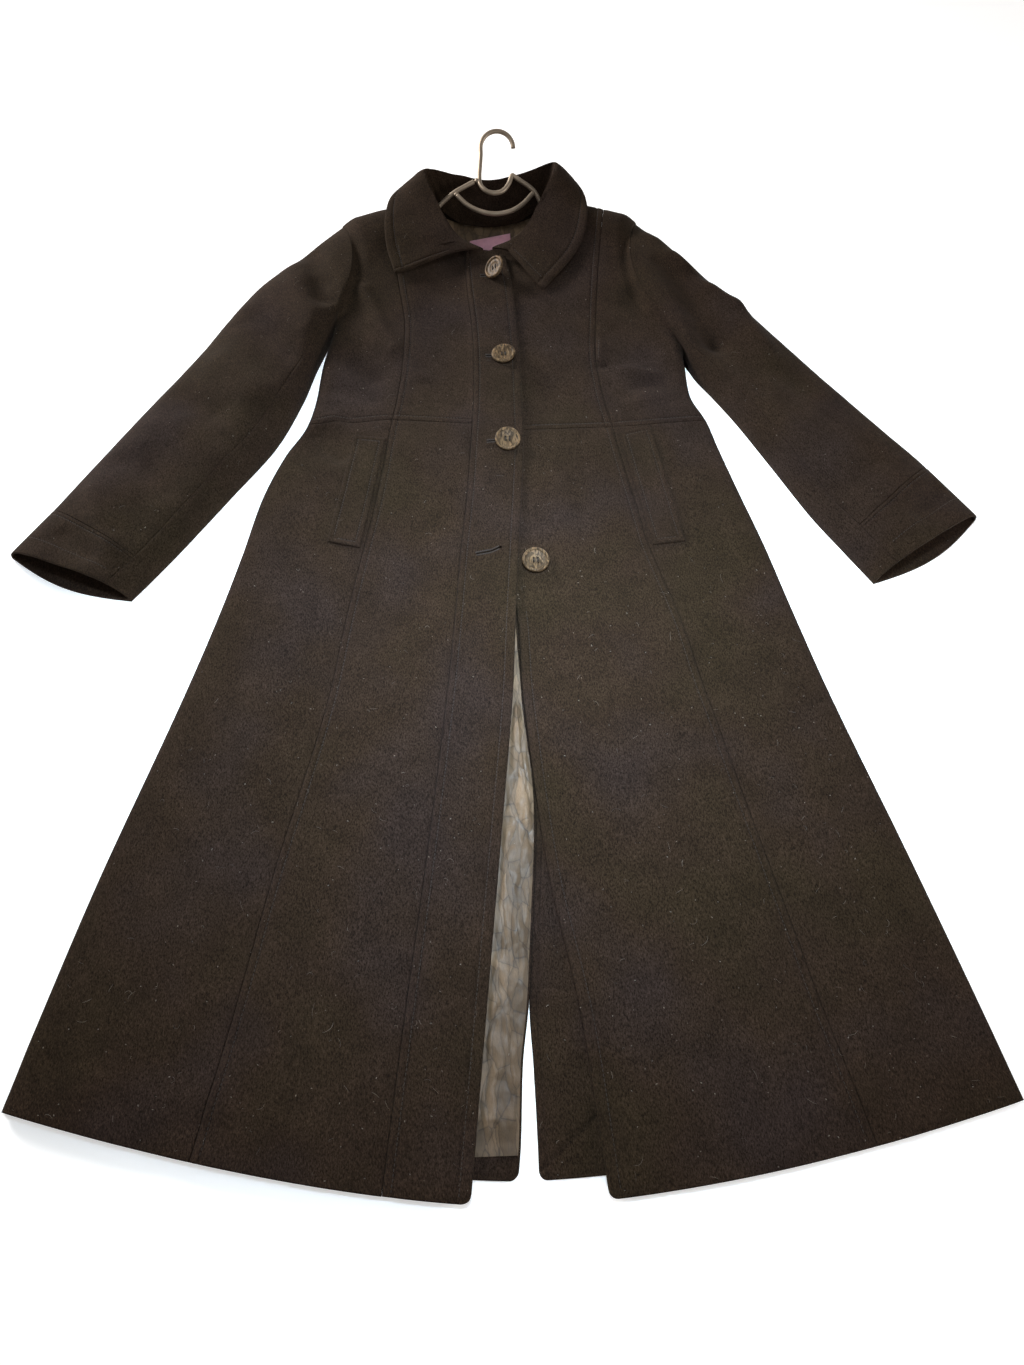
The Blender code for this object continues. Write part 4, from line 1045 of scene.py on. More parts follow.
def sleeve_wall(node, side, w, top, shares):
    """A piece of a sleeve: w and top run round it from edge to edge."""
    w = w[None, :]
    top = top[None, :]
    share = shares[:, None]
    outer = sleeve_point(side, share, w, top, 0.0)
    inner = sleeve_point(side, share, w, top, WOOL)
    profile = np.sqrt(np.maximum(0.0, 1 - np.abs(2 * w - 1) ** SLEEVE_POWER)) * top
    wave = 0.7 * ripple(outer[0], outer[1], 44.0, 21) + 0.3 * ripple(outer[0], outer[1], 15.0, 22)
    folds = SLEEVE_LIFT * fold_height(SLEEVE_FOLDS[side], outer[0], outer[1])
    folds = (folds + cloth_size("waviness") * wave) * profile ** 1.5 * ease(share / 0.06)
    from_start = (share - shares[0]) * SLEEVE_LENGTH
    to_end = (shares[-1] - share) * SLEEVE_LENGTH
    dip = edge_dip(np.maximum(np.minimum(from_start, to_end), 0.0))
    if node.startswith("cuff"):
        dip = dip + stitch_groove(from_start, STITCH_INSET) + 0.8 * stitch_groove(to_end, CUFF_STITCH)
    dip = (dip + edge_dip(np.abs(w - SLEEVE_FRONT_SEAM) * SLEEVE_GIRTH)) * profile
    cloth_piece(node, place(outer[0], outer[1], np.maximum(outer[2] + folds - dip, 0.0)),
                place(inner[0], inner[1], inner[2] + folds), cut_size(*outer))


def arc(start, end, steps):
    """Places across the top of a sleeve, closer together near its edges."""
    a = math.acos(1 - 2 * start)
    b = math.acos(1 - 2 * end)
    return (1 - np.cos(np.linspace(a, b, steps))) / 2


def sleeve(side):
    """Upper sleeve, cuff and under sleeve."""
    gap = JOIN_GAP / 2 / SLEEVE_GIRTH
    tight = np.array((0.0, 0.002, 0.006, 0.012))
    over = arc(0.0, SLEEVE_FRONT_SEAM - gap, 46)
    over = np.concatenate((over[:-1], over[-1] - tight[::-1]))
    over = np.sort(over)
    first = np.array((SLEEVE_BACK_SEAM - gap, 0.09, 0.06, 0.035, 0.015))
    over_w = np.concatenate((first, over))
    over_top = np.concatenate((np.zeros(len(first), bool), np.ones(len(over), bool)))
    under = arc(SLEEVE_FRONT_SEAM + gap, 1.0, 16)
    under = np.sort(np.concatenate((under[:1] + tight, under[1:])))
    last = np.concatenate((1 - np.array((0.012, 0.03, 0.06)), np.linspace(0.9, 0.2, 22),
                           np.array((SLEEVE_BACK_SEAM + gap,))))
    under_w = np.concatenate((under, last))
    under_top = np.concatenate((np.ones(len(under), bool), np.zeros(len(last), bool)))
    length = SLEEVE_LENGTH
    cuff_gap = JOIN_GAP / 2 / length
    step = cloth_size("point_step")
    end = (CUFF_SHARE - cuff_gap) * length
    rows = spread(end, step, NEAR_EDGE, NEAR_STITCHES)[0] / length
    sleeve_wall("sleeve_" + side + "_upper", side, over_w, over_top, rows)
    end = (1 - CUFF_SHARE - cuff_gap) * length
    rows = CUFF_SHARE + cuff_gap + spread(end, step * 0.8, NEAR_STITCHES, NEAR_EDGE)[0] / length
    sleeve_wall("cuff_" + side, side, over_w, over_top, rows)
    rows = spread(length, step, NEAR_EDGE, NEAR_EDGE)[0] / length
    sleeve_wall("sleeve_" + side + "_under", side, under_w, under_top, rows)


def solid_trees(kinds):
    """Search trees of the solids whose names start with these words."""
    trees = []
    for name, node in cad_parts.items():
        if name.startswith(kinds):
            points = [v.co.copy() for v in node.data.vertices]
            trees.append(BVHTree.FromPolygons(points, [tuple(p.vertices) for p in node.data.polygons]))
    return trees


def land(tree, spot):
    """The highest place of a search tree at a spot, or None where there is none."""
    hit = tree.ray_cast(Vector((spot[0], spot[1], ABOVE)), DOWNWARD)[0]
    return None if hit is None else np.array(hit)


def top_at(trees, x, y, reach):
    """The highest surface near a place, in metres, or None where there is none."""
    heights = []
    for dx, dy in ((0, 0), (reach, 0), (-reach, 0), (0, reach), (0, -reach)):
        for tree in trees:
            hit = land(tree, (x + dx, y + dy))
            if hit is not None:
                heights.append(hit[2])
    return max(heights) if heights else None


def collar_curve(s, t):
    """Points of the collar's upper side: s along the neck, t from the seam over the roll."""
    row = along(COLLAR, s)
    start = np.stack(np.broadcast_arrays(*row[0:3], t)[:3], axis=-1)
    roll = np.stack(np.broadcast_arrays(*row[3:6], t)[:3], axis=-1)
    edge = np.stack(np.broadcast_arrays(*row[6:9], t)[:3], axis=-1)
    first = (t < COLLAR_ROLL_FULL)[..., None]
    k = np.where(first, t[..., None] / COLLAR_ROLL_FULL,
                 (t[..., None] - COLLAR_ROLL_FULL) / (1 - COLLAR_ROLL_FULL))
    stand = start + (roll - start) * 0.6 + np.array((0, 0, 3.0))
    fall = roll + (edge - roll) * 0.30
    fall[..., 2] = roll[..., 2] + 1.0
    begin = np.where(first, start, roll)
    control = np.where(first, stand, fall)
    tip = np.where(first, roll, edge)
    return begin * (1 - k) ** 2 + control * 2 * k * (1 - k) + tip * k ** 2


def grid_normals(points):
    """The normal of each point of a grid, pointing up or towards the neck."""
    down = np.gradient(points, axis=0)
    right = np.gradient(points, axis=1)
    normal = np.cross(down, right)
    return normal / np.linalg.norm(normal, axis=-1, keepdims=True)


def refine(values, rows, cols):
    """Values of a coarse grid, read at fractions of its rows and columns."""
    r = np.linspace(0, 1, values.shape[0])
    c = np.linspace(0, 1, values.shape[1])
    step = np.stack([np.interp(rows, r, values[:, k]) for k in range(values.shape[1])], axis=1)
    return np.stack([np.interp(cols, c, line) for line in step], axis=0)


def collar():
    """The turned-down collar, standing up round the back of the neck."""
    trees = solid_trees(("front", "back", "sleeve", "cuff", "lining", "neck"))
    s, t = np.meshgrid(np.linspace(0, 1, COLLAR_ROWS + 1), np.linspace(0, 1, COLLAR_ACROSS + 1),
                       indexing="ij")
    coarse = collar_curve(s, t)
    metres = place(coarse[..., 0], coarse[..., 1], coarse[..., 2])
    under = metres - grid_normals(metres) * WOOL * MM
    lift = np.zeros(s.shape)
    for r in range(s.shape[0]):
        for c in range(s.shape[1]):
            need = 0.0
            for spot in (metres[r, c], under[r, c]):
                top = top_at(trees, spot[0], spot[1], COLLAR_REACH * MM)
                if top is not None:
                    need = max(need, top + COLLAR_CLEAR * MM - under[r, c, 2])
            lift[r, c] = need
            low = min(metres[r, c, 2], under[r, c, 2]) + need
            lift[r, c] += max(0.5 * MM - low, 0.0)
    ends = np.array((0.0, 0.0006, 0.0016, 0.003, 0.005))
    near = np.array((0.0082, 0.0102, 0.0117, 0.0132, 0.0152, 0.018, 0.022))
    hole = COLLAR_HOLE + np.array((-0.006, -0.003, -0.0015, 0.0, 0.0015, 0.003, 0.006))
    rows = np.concatenate((ends, near, hole, np.linspace(0.045, 0.973, 180), 1 - near[::-1],
                           1 - ends[::-1]))
    cols = np.concatenate(((0.0, 0.004, 0.012), np.linspace(0.03, 0.88, 44),
                           (0.9, 0.912, 0.92, 0.925, 0.93, 0.94, 0.955, 0.97, 0.98, 0.99, 0.996, 1.0)))
    s, t = np.meshgrid(rows, cols, indexing="ij")
    half = s < 0.5
    edge_mm = (1 - t) * COLLAR_DEPTH
    end_mm = np.where(half, s, 1 - s) * COLLAR_LENGTH
    tip_s, tip_t = rounded_corner(end_mm, t * COLLAR_DEPTH, end_mm, edge_mm, 1, COLLAR_CORNER)
    tip_s = np.where(half, tip_s, COLLAR_LENGTH - tip_s)
    points = collar_curve(tip_s / COLLAR_LENGTH, tip_t / COLLAR_DEPTH)
    metres = place(points[..., 0], points[..., 1], points[..., 2])
    metres[..., 2] += refine(lift, rows, cols)
    normals = grid_normals(metres)
    under = metres - normals * WOOL * MM
    around = s * COLLAR_WAVES[0]
    over = t * COLLAR_WAVES[1]
    wave = 0.7 * ripple(around, over, 46.0, 31) + 0.35 * ripple(around, over, 17.0, 32)
    wave = wave * ease(t / 0.15) * ease((1 - t) / 0.12)
    stand = np.exp(-((t - 0.2) / 0.16) ** 2)
    crush = (1 - np.abs(ripple(around + 0.5 * over, over * 0.45, 13.0, 33))) ** 3
    crush = crush * (0.55 + np.exp(-((np.abs(s - 0.5) - 0.17) / 0.07) ** 2))
    push = wave - 2.2 * crush * stand * ease((0.42 - np.abs(s - 0.5)) / 0.1)
    dip = edge_dip(edge_mm) + edge_dip(end_mm)
    dip = dip + stitch_groove(edge_mm, (1 - COLLAR_STITCH) * COLLAR_DEPTH) * (t > 0.6)
    dip = dip + stitch_groove(end_mm, STITCH_INSET) * ease((t - 0.36) / 0.1)
    off = np.abs(s - COLLAR_HOLE)
    slit = np.exp(-(off / 0.0016) ** 2) * ease((t - 0.28) / 0.03) * ease((0.5 - t) / 0.03)
    lips = np.exp(-((off - 0.004) / 0.002) ** 2) * ease((t - 0.27) / 0.04) * ease((0.51 - t) / 0.04)
    shape = np.clip(push - dip - 2.6 * slit + 0.6 * lips, -COLLAR_DEEPEST, COLLAR_DEEPEST)[..., None]
    top = metres + normals * shape * MM
    size = cut_size(*(metres[..., axis] / MM for axis in range(3)))
    cloth_piece("collar", top, under, size)
    MADE["collar_grid"] = (rows, cols, top)


def welt_places(corners, share, across):
    """Places on a welt: share runs down it, across runs from its inner to its outer edge."""
    top_in, top_out, low_out, low_in = (np.array(corners[i:i + 2], float) for i in (0, 2, 4, 6))
    places = []
    for axis in (0, 1):
        inner = top_in[axis] + (low_in[axis] - top_in[axis]) * share
        outer = top_out[axis] + (low_out[axis] - top_out[axis]) * share
        places.append(inner + (outer - inner) * across)
    return places


def welt(side):
    """A pocket welt lying on the side skirt panel."""
    under = "cloth_front_" + side
    trees = [cloth_tree([under + part for part in ("_side_skirt", "_skirt", "_side_bodice", "_bodice")])]
    rows = spread(WELT_LENGTH, 3.0, NEAR_STITCHES, NEAR_STITCHES)[0]
    cols = spread(WELT_WIDTH, 3.0, NEAR_STITCHES, NEAR_STITCHES)[0]
    share = rows / WELT_LENGTH
    across = cols / WELT_WIDTH
    x, down = welt_places(WELTS[side], share[:, None], across[None, :])
    coarse = welt_places(WELTS[side], np.linspace(0, 1, WELT_READINGS[0])[:, None],
                         np.linspace(0, 1, WELT_READINGS[1])[None, :])
    low = np.zeros(WELT_READINGS)
    for at, spot in zip(np.ndindex(WELT_READINGS), place(*coarse, 0.0).reshape(-1, 3)):
        low[at] = top_at(trees, spot[0], spot[1], 3 * MM) / MM + SEAM_GAP
    low = refine(low, share, across)
    z = low + WELT_THICK + 0.3 * ripple(x, down, 24.0, 41)
    dip = end_dip(rows, WELT_LENGTH) + end_dip(cols, WELT_WIDTH).T
    inner = np.minimum(np.minimum(rows, WELT_LENGTH - rows)[:, None],
                       np.minimum(cols, WELT_WIDTH - cols)[None, :])
    dip = dip + stitch_groove(inner, WELT_STITCH)
    top = np.maximum(z - dip, low + 0.5)
    cloth_piece("pocket_welt_" + side, place(x, down, top), place(x, down, low),
                cut_size(x, down, z))
    MADE["welt_lines_" + side] = (x, down, rows, cols)


def crease_field(x, down, seed):
    """Sharp facets of crumpled satin, between 0 and 1, that run mostly down the lining."""
    draw = np.random.default_rng(seed)
    bent_x = x + 5 * ripple(x, down, 34.0, seed) + 1.5 * ripple(x, down, 11.0, seed + 1)
    bent_down = 0.5 * (down + 8 * ripple(x, down, 41.0, seed + 2))
    total = np.zeros(np.broadcast(x, down).shape)
    weight = 0.0
    for turn, size in CREASE_WAVES:
        angle = math.radians(turn)
        run = (bent_x * math.cos(angle) + bent_down * math.sin(angle)) / size + draw.uniform(0, 2)
        run = run + 0.5 * ripple(x, down, 3 * size, int(draw.integers(100, 999)))
        here = ease(0.5 + 1.4 * ripple(x, down, 24.0, int(draw.integers(100, 999))))
        total += size * here * np.abs(np.mod(run, 2) - 1)
        weight += size
    return np.clip(total / (CREASE_EVENNESS * weight), 0, CREASE_HIGHEST)


def skirt_lining():
    """The crinkled strip of lining that shows between the fronts."""
    length = LINING_FOOT - LINING_TOP
    rows = spread(length, 1.4, NEAR_EDGE, NEAR_EDGE)[0]
    share = (rows / length)[:, None]
    down = LINING_TOP + length * share
    left = seam("right_edge", down) - LINING_UNDER
    right = smooth(VENT, 1, down) - 2
    cols = spread(60.0, 1.2, (0.0, 0.8, 2.0), (0.0, 0.8, 2.0)) / 60.0
    x = left + (right - left) * cols
    down = down + 0 * x
    quiet = ease((x - left - LINING_UNDER) / 7) * ease((right - x + 1.0) / 6)
    quiet = quiet * ease((LINING_FOOT - 8 - down) / 16)
    room = np.where(x > seam("left_edge", down) - 8, 0.55, 1.0)
    z = WOOL + SEAM_GAP + LINING + cloth_size("crinkle") * crease_field(x, down, 51) * quiet * room
    z = z + 0.5 * np.exp(-((down - (LINING_FOOT - 26)) / 2.2) ** 2)
    laid_cloth("lining_skirt", x, down, z, np.zeros_like(z), above_back,
               "lining", LINING)


def neck_lining():
    """The lining below the back neck."""
    share = np.linspace(0, 1, 60)[:, None]
    x, head = along(BACK_NECK, 0.14 + 0.72 * np.linspace(0, 1, 110)[None, :])
    down = head + 16 + (NECK_LINING_FOOT - head - 16) * share
    x = x + 0 * down
    quiet = ease(share / 0.06) * ease((1 - share) / 0.05)
    z = above_back(x, down) + LINING + SEAM_GAP
    inside = (x > NECK_LABEL[0] - 2) & (x < NECK_LABEL[1] + 2) & (down > NECK_LABEL[2] - 10)
    z = z + np.where(inside, 0.0, 0.9) * crease_field(x, down, 61) * quiet
    laid_cloth("lining_neck", x, down, z, np.zeros_like(z), above_back,
               "lining", LINING)


def neck_label():
    """The bare woven label, sewn down along its edges."""
    low_x, high_x, low_down, high_down = NECK_LABEL
    rows, cols = (spread(width, 1.5, (0.0, 0.4, 1.0), (0.0, 0.4, 1.0))[0]
                  for width in (high_down - low_down, high_x - low_x))
    x = low_x + cols[None, :]
    down = low_down + rows[:, None] - LABEL_TILT * (x - (low_x + high_x) / 2)
    x, down = np.broadcast_arrays(x, down)
    edge = np.minimum(np.minimum(rows, rows[-1] - rows)[:, None],
                      np.minimum(cols, cols[-1] - cols)[None, :])
    puff = 0.35 * ease(edge / 5) * (0.6 + 0.4 * ripple(x, down, 14.0, 71))
    z = above_lining(x, down) + LABEL + SEAM_GAP + puff
    laid_cloth("neck_label", x, down, z, 0.5 * np.exp(-(edge / 0.8) ** 2), above_lining,
               "label", LABEL)


def lathe(profile, segments):
    """Points and faces of a turned shape from its radius and height pairs."""
    bm = bmesh.new()
    line = [bm.verts.new((r * MM, 0, z * MM)) for r, z in profile]
    edges = [bm.edges.new(pair) for pair in zip(line, line[1:])]
    bmesh.ops.spin(bm, geom=line + edges, cent=(0, 0, 0), axis=(0, 0, 1), angle=2 * math.pi,
                   steps=segments)
    bmesh.ops.remove_doubles(bm, verts=bm.verts, dist=1e-6)
    bmesh.ops.recalc_face_normals(bm, faces=bm.faces)
    return bm


def button(index):
    """A dished horn button with four holes and the thread that crosses them."""
    x, down, tip_x, tip_y = BUTTONS[index]
    node = "button_" + str(index + 1)
    bm = lathe(BUTTON_PROFILE, 64)
    mesh = bpy.data.meshes.new("horn_" + node)
    bm.to_mesh(mesh)
    bm.free()
    piece = new_piece("horn_" + node, mesh, finish_of("button"), (node,), 40.0)
    holes = bmesh.new()
    place_mm = THREAD_HOLE_PLACE * MM
    for sx, sy in ((-1, -1), (-1, 1), (1, -1), (1, 1)):
        bmesh.ops.create_cone(holes, cap_ends=True, segments=20, radius1=THREAD_HOLE * MM,
                              radius2=THREAD_HOLE * MM, depth=CUT_DEPTH / 2 * MM,
                              matrix=Matrix.Translation((sx * place_mm, sy * place_mm, 0)))
    cut_with(piece, holes)
    turn = Matrix.Rotation(math.radians(tip_x), 4, "X")
    turn = turn @ Matrix.Rotation(math.radians(tip_y), 4, "Y")
    lowest = min((turn @ v.co).z for v in piece.data.vertices)
    at = place(x, down, 0.0)
    matrix = Matrix.Translation((at[0], at[1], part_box(node)[0][2] - lowest)) @ turn
    piece.data.transform(matrix)
    piece.data.shade_smooth()
    piece.data.set_sharp_from_angle(angle=math.radians(40))
    threads = []
    for sx in (-1, 1):
        path = []
        for k in range(9):
            share = k / 8
            path.append((sx * THREAD_HOLE_PLACE * 0.92, THREAD_HOLE_PLACE * (2 * share - 1),
                         -0.8 + 1.9 * math.sin(math.pi * share) ** 0.6))
        for shift in (-0.42, 0.42):
            threads.append([Vector((px + shift, py, pz)) * MM for px, py, pz in path])
    for k in range(3):
        angle = 2.1 * k
        spot = Vector((0.7 * math.cos(angle), 0.7 * math.sin(angle), 0))
        threads.append([(spot + Vector((0, 0, THREAD_STEM + 3.6 * j / 3))) * MM for j in range(4)])
    points, quads = join_parts([tube_arrays(path, 0.33, 7) for path in threads])
    points = np.array([matrix @ Vector(p) for p in points])
    points[:, 2] = np.maximum(points[:, 2], 0.004)
    fine_piece("thread_" + node, [(points, quads)], "thread")


def ring_quads(rings, sides):
    """The quads between rings of points that follow each other."""
    first = np.arange(rings - 1)[:, None] * sides
    a = first + np.arange(sides)
    b = first + np.roll(np.arange(sides), -1)
    return np.stack((a, b, b + sides, a + sides), axis=-1).reshape(-1, 4)


def tube_arrays(path, radius, sides, taper=True):
    """Points and quads of a round tube along a path in metres, closed at both ends."""
    path = np.array([tuple(p) for p in path])
    ahead = np.gradient(path, axis=0)
    ahead /= np.linalg.norm(ahead, axis=1, keepdims=True)
    up = np.array((0.0, 1.0, 0.0) if abs(ahead[0, 2]) > 0.9 else (0.0, 0.0, 1.0))
    frames = []
    for direction in ahead:
        side = np.cross(direction, up)
        side /= np.linalg.norm(side)
        up = np.cross(side, direction)
        frames.append((side, up))
    last = len(path) - 1
    head = [(0, 0.0, 0.02)] + ([(0, 0.12, 0.55), (0, 0.5, 0.88)] if taper else [])
    tail = [(last, -shift, scale) for _, shift, scale in reversed(head)]
    layers = head + [(i, 0.0, 1.0) for i in range(1, last)] + tail
    angles = np.linspace(0, 2 * math.pi, sides, endpoint=False)
    rings = []
    for i, shift, scale in layers:
        side, upward = frames[i]
        centre = path[i] + ahead[i] * shift * radius * MM
        rings.append(centre + (side[None, :] * np.cos(angles)[:, None]
                               + upward[None, :] * np.sin(angles)[:, None]) * radius * scale * MM)
    return np.concatenate(rings), ring_quads(len(rings), sides)


def join_parts(parts):
    """One set of points and quads from several."""
    points = []
    quads = []
    count = 0
    for part_points, part_quads in parts:
        points.append(part_points)
        quads.append(part_quads + count)
        count += len(part_points)
    return np.concatenate(points), np.concatenate(quads)


def fine_piece(name, parts, finish, nodes=()):
    """One object from several tubes or spindles."""
    new_piece(name, mesh_from(name, *join_parts(parts)), finish_of(finish), nodes, 60.0)


def rounded(points, count):
    """A smooth path in metres through points in the coat's own places."""
    share = np.linspace(0, 1, count)
    x, down, z = along(points, share)
    return place(x, down, z)


def hanger():
    """The hook with its left arm, the second arm and the curved cross bar."""
    tilt = math.radians(HOOK_TILT)
    hook = []
    for i in range(13):
        angle = math.pi - math.radians(HOOK_TURN) * (12 - i) / 12
        rise = HOOK_RADIUS * math.sin(angle)
        hook.append((HOOK_CENTRE[0] + HOOK_RADIUS * math.cos(angle),
                     HOOK_CENTRE[1] - rise * math.cos(tilt), HOOK_CENTRE[2] + rise * math.sin(tilt)))
    for node, points, count in (("hanger_hook", hook + list(HOOK_STEM), 260),
                                ("hanger_arm", ARM, 70), ("hanger_bar", BAR, 70)):
        welds = {"hanger_bar": (BAR[0], BAR[-1]), "hanger_arm": (ARM_WELD,)}.get(node, ())
        parts = [tube_arrays(rounded(points, count), TUBE, 24)] + [weld_bead(spot) for spot in welds]
        fine_piece("metal_" + node, parts, "hanger", (node,))


def weld_bead(spot):
    """A small round bead of weld at the end of a tube."""
    centre = place(*spot)
    radius, height = WELD
    rings = []
    sides = 16
    layers = 9
    for i in range(layers):
        lean = math.pi * (0.02 + 0.96 * i / (layers - 1))
        for k in range(sides):
            angle = 2 * math.pi * k / sides
            out = math.sin(lean) * radius * (1 + 0.08 * math.sin(3 * angle + i))
            rings.append(centre + np.array((math.cos(angle) * out, math.sin(angle) * out,
                                            math.cos(lean) * height)) * MM)
    return np.array(rings), ring_quads(layers, sides)


def cloth_tree(names):
    """One search tree over the finished cloth pieces."""
    points = []
    faces = []
    for name in names:
        mesh = MADE[name].data
        start = len(points)
        points += [v.co.copy() for v in mesh.vertices]
        faces += [tuple(i + start for i in p.vertices) for p in mesh.polygons]
    return BVHTree.FromPolygons(points, faces)


def seam_lines():
    """The stitch lines of the body as lists of (x, down) places."""
    lines = []
    down = np.linspace(66, 1128, 500)
    lines.append((seam("right_edge", down) - EDGE_STITCH_INSET, down))
    lines.append((seam("band_seam", down) + STITCH_INSET, down))
    lower = np.linspace(600, 1128, 300)
    lines.append((seam("left_edge", lower) + EDGE_STITCH_INSET, lower))
    for side, sign in (("right", 1), ("left", -1)):
        name = side + "_princess"
        upper = np.linspace(60 if side == "right" else -20, WAIST[name] - 2, 200)
        lines.append((seam(name, upper) + sign * STITCH_INSET, upper))
        lower = np.linspace(WAIST[name] + 2, 1096, 400)
        lines.append((seam(name, lower) + sign * STITCH_INSET, lower))
    for side, inner in (("right", "band_seam"), ("left", "left_edge")):
        first = WAIST[side + "_side"]
        names = (side + "_side", side + "_princess", inner)
        for a, b in zip(names, names[1:]):
            share = np.linspace(0.03, 0.97, 120)
            x0 = seam(a, float(WAIST[a]))
            x1 = seam(b, float(WAIST[b]))
            line_x = x0 + (x1 - x0) * share
            line_down = WAIST[a] + (WAIST[b] - WAIST[a]) * share - STITCH_INSET
            keep = line_x < -45 if side == "right" else line_x > 30
            if keep.any():
                lines.append((line_x[keep], line_down[keep]))
    x0, down0, x1, down1 = TUCK
    share = np.linspace(0, 1, 20)
    lines.append((x0 + 2.2 + (x1 - x0) * share, down0 + (down1 - down0) * share))
    return lines


def nearest(values, wanted):
    """The index of the value that is nearest to the wanted one."""
    return int(np.argmin(np.abs(values - wanted)))


def stitching():
    """Every stitch line of the coat as one piece of thread."""
    tree = cloth_tree([n for n in MADE if n.startswith("cloth_")])
    parts = []
    for x, down in seam_lines():
        parts += stitch_row(place(x, down, 0.0), tree)
    rows, cols, top = MADE["collar_grid"]
    at = nearest(cols, COLLAR_STITCH)
    start = nearest(rows, STITCH_INSET / COLLAR_LENGTH)
    fold = nearest(cols, COLLAR_FOLD)
    for line in (top[start:-start - 1, at], top[start, fold:at], top[-start - 1, fold:at]):
        parts += stitch_row(line)
    for side in ("right", "left"):
        x, down, rows, cols = MADE["welt_lines_" + side]
        r0 = nearest(rows, WELT_STITCH)
        r1 = len(rows) - 1 - r0
        c0 = nearest(cols, WELT_STITCH)
        c1 = len(cols) - 1 - c0
        for part in ((slice(r0, r1), c0), (slice(r0, r1), c1), (r0, slice(c0, c1)), (r1, slice(c0, c1))):
            parts += stitch_row(place(x[part], down[part], 0.0), tree)
        w = 0.06 + 0.76 * np.linspace(0.04, 0.96, 60)
        for share in (CUFF_SHARE + STITCH_INSET / SLEEVE_LENGTH, 1 - CUFF_STITCH / SLEEVE_LENGTH):
            px, py, _ = sleeve_point(side, np.full(60, share), w, True, 0.0)
            parts += stitch_row(place(px, py, 0.0), tree)
    for x, down, turn in BUTTONHOLES:
        parts += buttonhole_threads(x, down, turn, tree)
    fine_piece("thread_stitching", parts, "thread")


def stitch_row(spots, tree=None):
    """Stitches along a line of places, each lying on the cloth."""
    cloth = bpy.context.scene.coat_cloth
    steps = np.linalg.norm(np.diff(spots[:, :2], axis=0), axis=1)
    run = np.concatenate(((0,), np.cumsum(steps)))
    radius, rise = STITCH
    parts = []
    for i in range(int(run[-1] / cloth.stitch_pitch)):
        ends = []
        for at in (i * cloth.stitch_pitch, i * cloth.stitch_pitch + cloth.stitch_length):
            spot = np.array([np.interp(at, run, spots[:, k]) for k in range(3)])
            if tree is not None:
                spot = land(tree, spot)
                if spot is None:
                    break
            ends.append(spot)
        if len(ends) < 2 or abs(ends[1][2] - ends[0][2]) > STITCH_STEP:
            continue
        middle = (ends[0] + ends[1]) / 2 + np.array((0, 0, rise * MM))
        parts.append(bead(ends[0], middle, ends[1], radius * MM))
    return parts


def bead(start, middle, end, radius):
    """A stitch: a thin spindle over three places."""
    ahead = end - start
    ahead /= max(np.linalg.norm(ahead), 1e-9)
    side = np.cross(ahead, (0, 0, 1.0))
    side /= max(np.linalg.norm(side), 1e-9)
    up = np.cross(side, ahead)
    rings = []
    quarter = start + (middle - start) * 0.35
    three = end + (middle - end) * 0.35
    for centre, scale in ((start, 0.25), (quarter, 0.9), (middle, 1.0), (three, 0.9), (end, 0.25)):
        for k in range(5):
            angle = 2 * math.pi * k / 5
            rings.append(centre + (side * math.cos(angle) + up * math.sin(angle)) * radius * scale)
    return np.array(rings), ring_quads(5, 5)


def buttonhole_threads(x, down, turn, tree):
    """The close stitches round a buttonhole."""
    angle = math.radians(turn)
    radius, rise = BUTTONHOLE_STITCH
    parts = []
    for side in (-1, 1):
        for i in range(34):
            run = (i / 33 - 0.5) * (BUTTONHOLE_LENGTH + 1.5)
            ends = []
            for off in (side * 0.75, side * 2.7):
                px = x + run * math.cos(angle) + off * math.sin(angle)
                py = down - run * math.sin(angle) + off * math.cos(angle)
                spot = land(tree, place(px, py, 0.0))
                if spot is not None:
                    ends.append(spot)
            if len(ends) == 2 and abs(ends[0][2] - ends[1][2]) < BUTTONHOLE_STEP:
                middle = (ends[0] + ends[1]) / 2 + np.array((0, 0, rise * MM))
                parts.append(bead(ends[0], middle, ends[1], radius * MM))
    return parts


